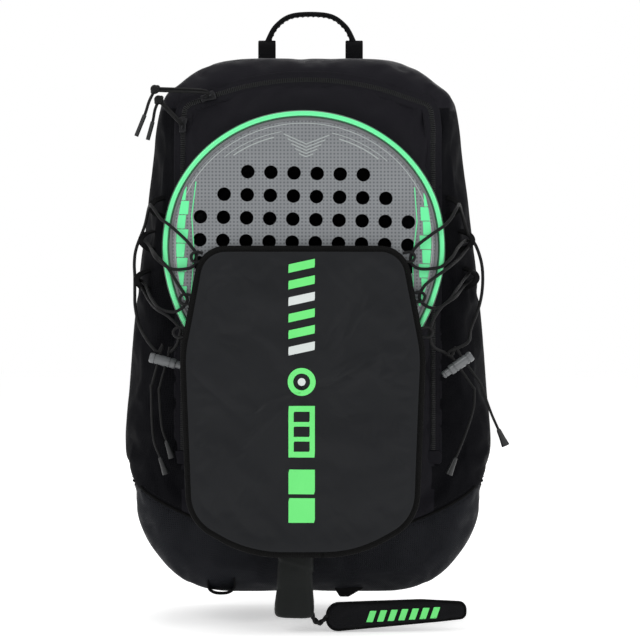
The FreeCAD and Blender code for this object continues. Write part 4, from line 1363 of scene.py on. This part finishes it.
def racket_handle():
    base = handle_ring(15.2, 14.2, 7.0)
    turns = np.arange(HANDLE_SIDES) / HANDLE_SIDES
    rings = []
    for height in np.arange(BUTT_END + 12, HANDLE_TOP - 5.9, 1.2):
        climb = (height / 26.0 + turns) % 1.0
        swell = 0.9 * np.clip(climb / 0.08, 0, 1) * (1 - climb) ** 0.5
        rings.append((height, base * (1 + swell / 15.0)[:, None]))
    grip = tube_of("grip_wrap", rings, "grip_tape")
    collar_rings = [(HANDLE_TOP - 6, 0.97), (HANDLE_TOP - 5.4, 1.03), (HANDLE_TOP - 1, 1.03),
                    (HANDLE_TOP, 0.99)]
    collar_rings = [(h, handle_ring(16.6 * s, 15.6 * s, 7.0)) for h, s in collar_rings]
    collar = tube_of("grip_collar", collar_rings, "black_plastic")
    flare = [(0, 0.74), (0.5, 0.84), (1.6, 0.92), (3.6, 0.98), (7, 1.0), (13, 0.985), (20, 0.94),
             (28, 0.895), (34, 0.865)]
    flare = [(BUTT_END + h, handle_ring(17.6 * s, 16.6 * s, 7.5)) for h, s in flare]
    cap = tube_of("butt_cap", flare, "grip_tape")
    replaced = ["racket_grip", "racket_grip_collar", "racket_butt_cap", "racket_handle_core"]
    place_racket("racket_handle_visual", [grip, collar, cap], "grip_tape", *replaced)


# ---------------------------------------------------------------- wrist strap
def wrist_strap():
    pivot = [c / MM for c in JOINTS["wrist_strap_swing"]["pos_m"]]
    y = pivot[1]
    way = smooth_path([(4, y, -9), (6, y, -15), (11, y, -17.5), (16, y, -13), (20, y, -7)], 1.0)
    made = []
    for strand in (0, 1):
        turn = np.linspace(0, 2 * math.pi * 2.5, len(way)) + strand * math.pi
        side = np.column_stack([0.3 * np.sin(turn), np.cos(turn), np.sin(turn)]) * 1.35
        made.append(sweep(f"wrist_strand_{strand}", way + side, round_profile(1.5), "elastic_cord"))
    finish_piece("wrist_cord_visual", made, "elastic_cord", "wrist_strap", "wrist_cord")
    corners = [(17, -25, 10), (118, -15.5, 30), (140, -13, 5), (140, 0.5, 6), (100, 2.5, 60), (17, -0.5, 11)]
    outline = rounded_outline(corners, 150)
    pad = cushion("wrist_pad_core", outline, y - 3.4, y + 3.4, "pad_cloth", 2.0, 2.0)
    parts = [pad]
    parts.append(edge_tape("wrist_pad_edge", outline, y, 3.4, 2.0))
    inner = outline - outward(outline) * 3.6
    tree = tree_of(pad)
    row, normals = front_of(tree, inner, 0.05)
    parts.append(stitches("wrist_pad_stitch", shut(row), shut(normals)))
    for number in range(7):
        x = 52 + number * 9.4
        z = -16.5 + number * 0.55
        bar = even([(x, z), (x + 5.6, z), (x + 9, z + 10), (x + 3.4, z + 10)], 32, True)
        mark = plate(f"wrist_mark_{number}", [bar], -0.3, 0.3, "print_green")
        drop_on(mark, tree, 0.15)
        parts.append(mark)
    finish_piece("wrist_pad_visual", parts, "pad_cloth", "wrist_strap", "wrist_pad")


# ---------------------------------------------------------------- cushions and harness
def cushion(name, outline, y_a, y_b, material, pressure, limit):
    """Padded piece with a rounded edge, puffed by a cloth run that holds its seam."""
    centre = outline.mean(axis=0)
    normal = outward(outline)
    thick = y_b - y_a
    middle = (y_a + y_b) / 2
    grow = np.linspace(0.06, 1, 14)
    rings = [(k, y_a, 3.0) for k in grow]
    rings += [(1, middle + thick / 2 * k, 1.2 * abs(k)) for k in (-0.55, -0.2, 0.2, 0.55)]
    rings += [(k, y_b, 3.0) for k in grow[::-1]]
    verts = []
    for k, y, inset in rings:
        verts += list(upright(centre + (outline - normal * inset - centre) * k, y))
    pad = add_mesh(name, verts, tube_faces(len(rings), len(outline)), material, sharp=180)
    remesh(pad, min(5.0, max(2.0, thick / 3)))
    places = coords(pad)
    held = near(places, [upright(outline, middle)], 5.0, 3.0)
    return drape(pad, pressure, 0.02, held, limit)


def edge_tape(name, outline, y, wide=5.0, thick=2.2):
    """Binding round the edge of a flat piece."""
    band = flat_profile(wide, thick, 0.9)
    return sweep(name, upright(outline, y), band, "binding_tape", True, upright(outward(outline), 0.0))


def block_outline(node, radius):
    """Rounded front-view outline of a block-shaped node."""
    return rounded_box(low(node, X), high(node, X), low(node, Z), high(node, Z), radius, 140)


def mirrored(outline):
    return (outline * np.array((-1, 1)))[::-1]


def back_padding():
    y_a = BAG_BACK - 1
    pads = []
    for side in (-1, 1):
        outline = rounded_box(10, high("back_pads", X), low("back_pads", Z), high("back_pads", Z), 24, 140)
        outline = outline if side > 0 else mirrored(outline)
        y_b = high("back_pads", Y) - 2
        pads.append(cushion(f"back_pad_{side}", outline, y_a, y_b, "mesh_padding", 3.0, 3.0))
        pads.append(edge_tape(f"back_pad_tape_{side}", outline, BAG_BACK + 2))
        for z in (255, 335):
            x_a, x_b = outline[:, 0].min() + 8, outline[:, 0].max() - 8
            tree = tree_of(pads[-2])
            row = [(x, z) for x in np.linspace(x_a, x_b, 30)]
            path, normals = back_of(tree, row, 0.2)
            pads.append(stitches(f"pad_row_{side}_{z}", path, normals, stitch=4))
    finish_piece("back_pads_visual", pads, "mesh_padding", "bag", "back_pads")
    outline = block_outline("lumbar_pad", 26)
    lumbar = [cushion("lumbar_core", outline, y_a, high("lumbar_pad", Y) - 2, "mesh_padding", 3.0, 3.0)]
    lumbar.append(edge_tape("lumbar_tape", outline, BAG_BACK + 2))
    finish_piece("lumbar_pad_visual", lumbar, "mesh_padding", "bag", "lumbar_pad")
    outline = block_outline("strap_anchor", 9)
    anchor = [cushion("anchor_core", outline, y_a, high("strap_anchor", Y) - 1, "side_cloth", 2.0, 2.0)]
    for z in (outline[:, 1].min() + 5, outline[:, 1].max() - 5):
        path, normals = back_of(tree_of(anchor[0]), [(x, z) for x in np.linspace(-76, 76, 60)], 0.2)
        anchor.append(stitches(f"anchor_row_{z:.0f}", path, normals))
    finish_piece("strap_anchor_visual", anchor, "side_cloth", "bag", "strap_anchor")


STRAP_INNER = [(16, 458), (30, 420), (40, 340), (44, 260), (56, 202)]
STRAP_OUTER = [(96, 198), (108, 270), (104, 350), (92, 425), (74, 458)]


def shoulder_strap(side):
    name = SIDE_NAME[side]
    node = "shoulder_strap_" + name
    inner, outer = smooth_path(STRAP_INNER, 4), smooth_path(STRAP_OUTER, 4)
    outline = even(np.vstack([inner, outer]), 190, True)
    middle = (even(inner, 60) + even(outer[::-1], 60)) / 2
    if side < 0:
        outline = mirrored(outline)
        middle = middle * np.array((-1, 1))
    y_a, y_b = low(node, Y) + 0.6, high(node, Y) - 2.5
    core = cushion(node + "_core", outline, y_a, y_b - 0.5, "mesh_padding", 3.0, 1.2)
    made = [core, edge_tape(node + "_tape", outline, (y_a + y_b) / 2, wide=5.5)]
    tree = tree_of(core)
    path, normals = back_of(tree, middle[3:-2], 0.7)
    made.append(sweep(node + "_web", path, flat_profile(22, 1.5), "webbing", up=normals))
    for shift in (-8.5, 8.5):
        run = np.gradient(path, axis=0)
        across = unit(np.cross(run, normals))
        made.append(stitches(f"{node}_row_{shift}", path + across * shift + normals * 0.8, normals))
    finish_piece(node + "_visual", made, "mesh_padding", "bag", node)


def harness():
    lock_z = mid("ladder_locks", Z)
    y = low("ladder_locks", Y)
    lock_x = high("ladder_locks", X) - 18
    locks, webs, tabs = [], [], []
    for side in (-1, 1):
        x = side * lock_x
        frame_line = rounded_box(x - 18, x + 18, lock_z - 14.5, lock_z + 14.5, 3, 80)
        slots = [rounded_box(x - 13.5, x + 13.5, z, z + 7, 1.2, 60) for z in (lock_z - 9.5, lock_z + 1.5)]
        locks.append(plate(f"ladder_lock_{side}", [frame_line] + slots, y + 0.2, y + 4.8, "black_plastic",
                           1.0))
        foot = np.array((side * 124, BAG_BACK + 2.4, 62))
        course = [(x, y + 6.2, lock_z - 5), (x, y + 4.2, lock_z - 15), (x + side * 6, y + 1, lock_z - 30),
                  foot]
        path = smooth_path(course, 3)
        webs.append(sweep(f"lower_web_{side}", path, flat_profile(25, 1.6), "webbing", up=(0, 1, 0.12)))
        course = [(x, y + 6.4, lock_z - 6), (x + side * 2, y + 8.5, lock_z - 22),
                  (x + side * 5, y + 7, lock_z - 44)]
        loose = smooth_path(course, 3)
        webs.append(sweep(f"loose_web_{side}", loose, flat_profile(25, 1.6), "webbing", up=(0, 1, 0.1)))
        course = [(2.4, 8), (5.6, 2), (5, 14), (3, 26)]
        upper = smooth_path([(x, y + out, lock_z + rise) for out, rise in course], 2)
        webs.append(sweep(f"upper_web_{side}", upper, flat_profile(25, 1.5), "webbing", up=(0, 1, 0.05)))
        fold = [(side * 100, BAG_BACK - 6, 42), (side * 114, BAG_BACK + 1.2, 52),
                (side * 124, BAG_BACK + 1.6, 64)]
        tabs.append(sweep(f"base_tab_{side}", smooth_path(fold, 2.5), flat_profile(32, 2.2), "webbing",
                          up=(0, 1, 0)))
    finish_piece("ladder_locks_visual", locks, "black_plastic", "bag", "ladder_locks")
    finish_piece("strap_webbing_visual", webs, "webbing", "bag", "strap_webbing")
    finish_piece("base_tabs_visual", tabs, "webbing", "bag", "base_tabs")


def sternum():
    z = mid("sternum_buckle_socket", Z)
    rail_x = high("sternum_rails", X) - 2
    y = mid("sternum_rails", Y)
    web_y = low("sternum_webbing_left", Y)
    z_a, z_b = low("sternum_rails", Z), high("sternum_rails", Z)
    rails, clips = [], []
    for side in (-1, 1):
        x = side * rail_x
        rails.append(cord(f"rail_{side}", [(x, y, z_a), (x, y, z_b)], 1.95, "elastic_cord", 2.0))
        for end in (z_a + 1.5, z_b - 1.5):
            bow = smooth_path([(x, y + 2.6, end - 5), (x, y + 2.8, end), (x, y + 2.6, end + 5)], 1.5)
            rails.append(sweep(f"rail_tab_{side}_{end:.0f}", bow, flat_profile(15, 1.6), "webbing",
                               up=(0, 1, 0)))
        outline = rounded_box(x - 8, x + 8, z - 12, z + 12, 3, 60)
        clips.append(plate(f"clip_{side}", [outline], y + 2.2, web_y + 0.1, "black_plastic", 0.5))
        for shift in (-5.2, 5.2):
            jaw = [(x + shift, y + 0.3, z - 10), (x + shift, y + 0.3, z + 10)]
            clips.append(cord(f"clip_jaw_{side}_{shift}", jaw, 1.7, "black_plastic"))
    finish_piece("sternum_rails_visual", rails, "elastic_cord", "bag", "sternum_rails")

    start, split = low("sternum_buckle_socket", X), high("sternum_buckle_socket", X)
    tip, end = low("sternum_buckle_plug", X), high("sternum_buckle_plug", X)

    def web(name, x_from, x_middle, x_to):
        course = smooth_path([(x_from, web_y + 0.8, z), (x_middle, web_y + 1.2, z), (x_to, web_y + 0.8, z)],
                             3)
        return sweep(name, course, flat_profile(20, 1.5), "webbing", up=(0, 1, 0))

    left = web("web_left", -rail_x - 8, -50, start + 5)
    right = web("web_right", split + 6, 50, rail_x + 8)
    body = rounded_outline([(start, z - 11, 4), (split, z - 14, 3), (split, z + 14, 3), (start, z + 11, 4)],
                           90)
    windows = []
    for middle in (z - 8.5, z + 8.5):
        windows.append(rounded_box(start + 9, split - 6, middle - 2.2, middle + 2.2, 1.5, 40))
    top = plate("socket_top", [body] + windows, web_y + 3.8, web_y + 6.2, "black_plastic", 0.9)
    under = plate("socket_under", [body], web_y - 3.2, web_y - 0.9, "black_plastic", 0.9)
    walls = []
    for side in (-1, 1):
        course = [(start + 3, web_y + 1.4, z + side * 11.3), (split - 1, web_y + 1.4, z + side * 12.2)]
        walls.append(cord(f"socket_wall_{side}", course, 1.9, "black_plastic"))
    replaced = ["sternum_clips", "sternum_webbing_left", "sternum_webbing_right", "sternum_buckle_socket"]
    finish_piece("sternum_visual", clips + [left, right, top, under] + walls, "webbing", "sternum",
                 *replaced)

    x = split + 0.6
    head = rounded_outline([(x, z - 14, 3), (end, z - 11, 4), (end, z + 11, 4), (x, z + 14, 3)], 90)
    slot_line = rounded_box(end - 8, end - 3.5, z - 9.8, z + 9.8, 1, 50)
    pieces = [plate("plug_head", [head, slot_line], web_y + 2.3, web_y + 6.0, "black_plastic", 0.9)]
    pieces.append(plate("plug_under", [head], web_y - 3.2, web_y - 0.9, "black_plastic", 0.9))
    for shift in (-8, 0, 8):
        low_z, high_z = z + shift - 1.5, z + shift + 1.5
        corners = [(tip, low_z, 1), (split + 3, low_z, 0.5), (split + 3, high_z, 0.5), (tip, high_z, 1)]
        prong = rounded_outline(corners, 40)
        pieces.append(plate(f"prong_{shift}", [prong], web_y + 2.4, web_y + 4.8, "black_plastic", 0.4))
    finish_piece("sternum_plug_visual", pieces, "black_plastic", "sternum_plug", "sternum_buckle_plug")


def base_bits():
    """Webbing loop and tab sewn under the base."""
    x_a, x_b = low("bottom_loop", X), high("bottom_loop", X)
    y = mid("bottom_loop", Y)
    centre, half = (x_a + x_b) / 2, (x_b - x_a) / 2 - 0.8
    drop = low("bottom_loop", Z) + 0.8
    right = [(half, BASE_Z + 10), (half, BASE_Z), (half * 0.6, drop + 1), (0, drop)]
    course = [(centre - x, y, z) for x, z in right] + [(centre + x, y, z) for x, z in reversed(right[:-1])]
    path = smooth_path(course, 1.5)
    out = np.cross(np.gradient(path, axis=0), (0, 1, 0))
    band = sweep("bottom_loop_web", path, flat_profile(12, 1.5), "webbing", up=out)
    finish_piece("bottom_loop_visual", [band], "webbing", "bag", "bottom_loop")
    y_a, y_b = low("bottom_tab", Y), high("bottom_tab", Y)
    low_z = low("bottom_tab", Z)
    outline = rounded_outline([(56, 10, 2), (22, 10, 2), (29, low_z, 2), (37, low_z, 2)], 70)
    tab = [plate("bottom_tab_sheet", [outline], y_a, y_b, "webbing", 0.6)]
    row = even(outline - outward(outline) * 2.2, 60, True)
    row = upright(row, y_a - 0.05)
    tab.append(stitches("bottom_tab_stitch", row, facing_front(60), stitch=2, gap=1.2))
    finish_piece("bottom_tab_visual", tab, "webbing", "bag", "bottom_tab")


# ---------------------------------------------------------------- stage
def studio():
    """Wide pale floor, a white world, soft lights and a camera level with the bag's middle."""
    floor_z = low("wrist_pad", Z) - 3
    corners = [(-9000, -9000, floor_z), (9000, -9000, floor_z), (9000, 9000, floor_z),
               (-9000, 9000, floor_z)]
    floor = add_mesh("studio_floor", corners, [(0, 1, 2, 3)], "board", sharp=180)
    white = Surface("studio_white", (254, 254, 254), 0.95, vary=0.0, spec=0.05)
    white.bsdf.inputs["Emission Color"].default_value = (1, 1, 1, 1)
    white.bsdf.inputs["Emission Strength"].default_value = 0.45
    floor.data.materials[0] = white.material

    def lamp(name, spot, aim, power, size):
        light = bpy.data.lights.new(name, "AREA")
        light.energy = power
        light.size = size
        obj = bpy.data.objects.new(name, light)
        obj.location = spot
        obj.rotation_euler = (Vector(aim) - Vector(spot)).to_track_quat("-Z", "Y").to_euler()
        scene.collection.objects.link(obj)

    lamp("key", (-1.6, -2.2, 1.9), (0, 0, 0.25), 25, 1.6)
    lamp("fill", (2.0, -2.0, 1.2), (0, 0, 0.25), 18, 1.8)
    lamp("top", (0.0, 0.1, 2.3), (0, 0, 0.3), 16, 1.6)
    lamp("rear", (0.4, 2.2, 1.6), (0, 0, 0.25), 12, 1.6)
    world = bpy.data.worlds.new("studio")
    world.use_nodes = True
    light_path = world.node_tree.nodes.new("ShaderNodeLightPath")
    strength = world.node_tree.nodes.new("ShaderNodeMapRange")     # 1 where the camera looks, 0.55 as light
    strength.inputs["To Min"].default_value = 0.55
    world.node_tree.links.new(light_path.outputs["Is Camera Ray"], strength.inputs["Value"])
    background = world.node_tree.nodes["Background"]
    background.inputs["Color"].default_value = (1, 1, 1, 1)
    world.node_tree.links.new(strength.outputs["Result"], background.inputs["Strength"])
    scene.world = world
    camera = bpy.data.cameras.new("camera")
    camera.lens = 117.5
    camera.sensor_width = 36
    camera.clip_end = 50
    eye = bpy.data.objects.new("camera", camera)
    eye.location = (0.011, -1.96, 0.243)
    eye.rotation_euler = (math.pi / 2, 0, 0)
    scene.collection.objects.link(eye)
    scene.camera = eye
    scene.view_settings.view_transform = "Standard"


# ---------------------------------------------------------------- build
shell, back_seam = bag_shell()
seam_trim(shell, back_seam)
zip_line_parts(shell, zip_course())
slider("zip_slider_left", "zip_left")
slider("zip_slider_top", "zip_top")
LEFT_SPOT = (mid("zip_slider_left", X), mid("zip_slider_left", Z))
TOP_SPOT = (mid("zip_slider_top", X), mid("zip_slider_top", Z))
zip_pull("zip_pull_left", "zip_left_pull", LEFT_SPOT, (-134, 449), (-144, 413))
zip_pull("zip_pull_top", "zip_top_pull", TOP_SPOT, (-137, 458), (-154, 416))
carry_handle()
holder_flap()
for side in (-1, 1):
    holder_gusset(side)
    lacing(side)
    cord_lock(side)
    tails(side)
    shoulder_strap(side)
loops(shell)
racket_frame()
racket_faces()
racket_handle()
wrist_strap()
back_padding()
harness()
sternum()
base_bits()
for node, slot_name in (("laptop_sleeve", "lining"), ("back_frame_sheet", "board"), ("base_board", "board")):
    inside = frame["nodes"][node]
    inside.data.materials.clear()
    inside.data.materials.append(MATERIAL[slot_name])
studio()
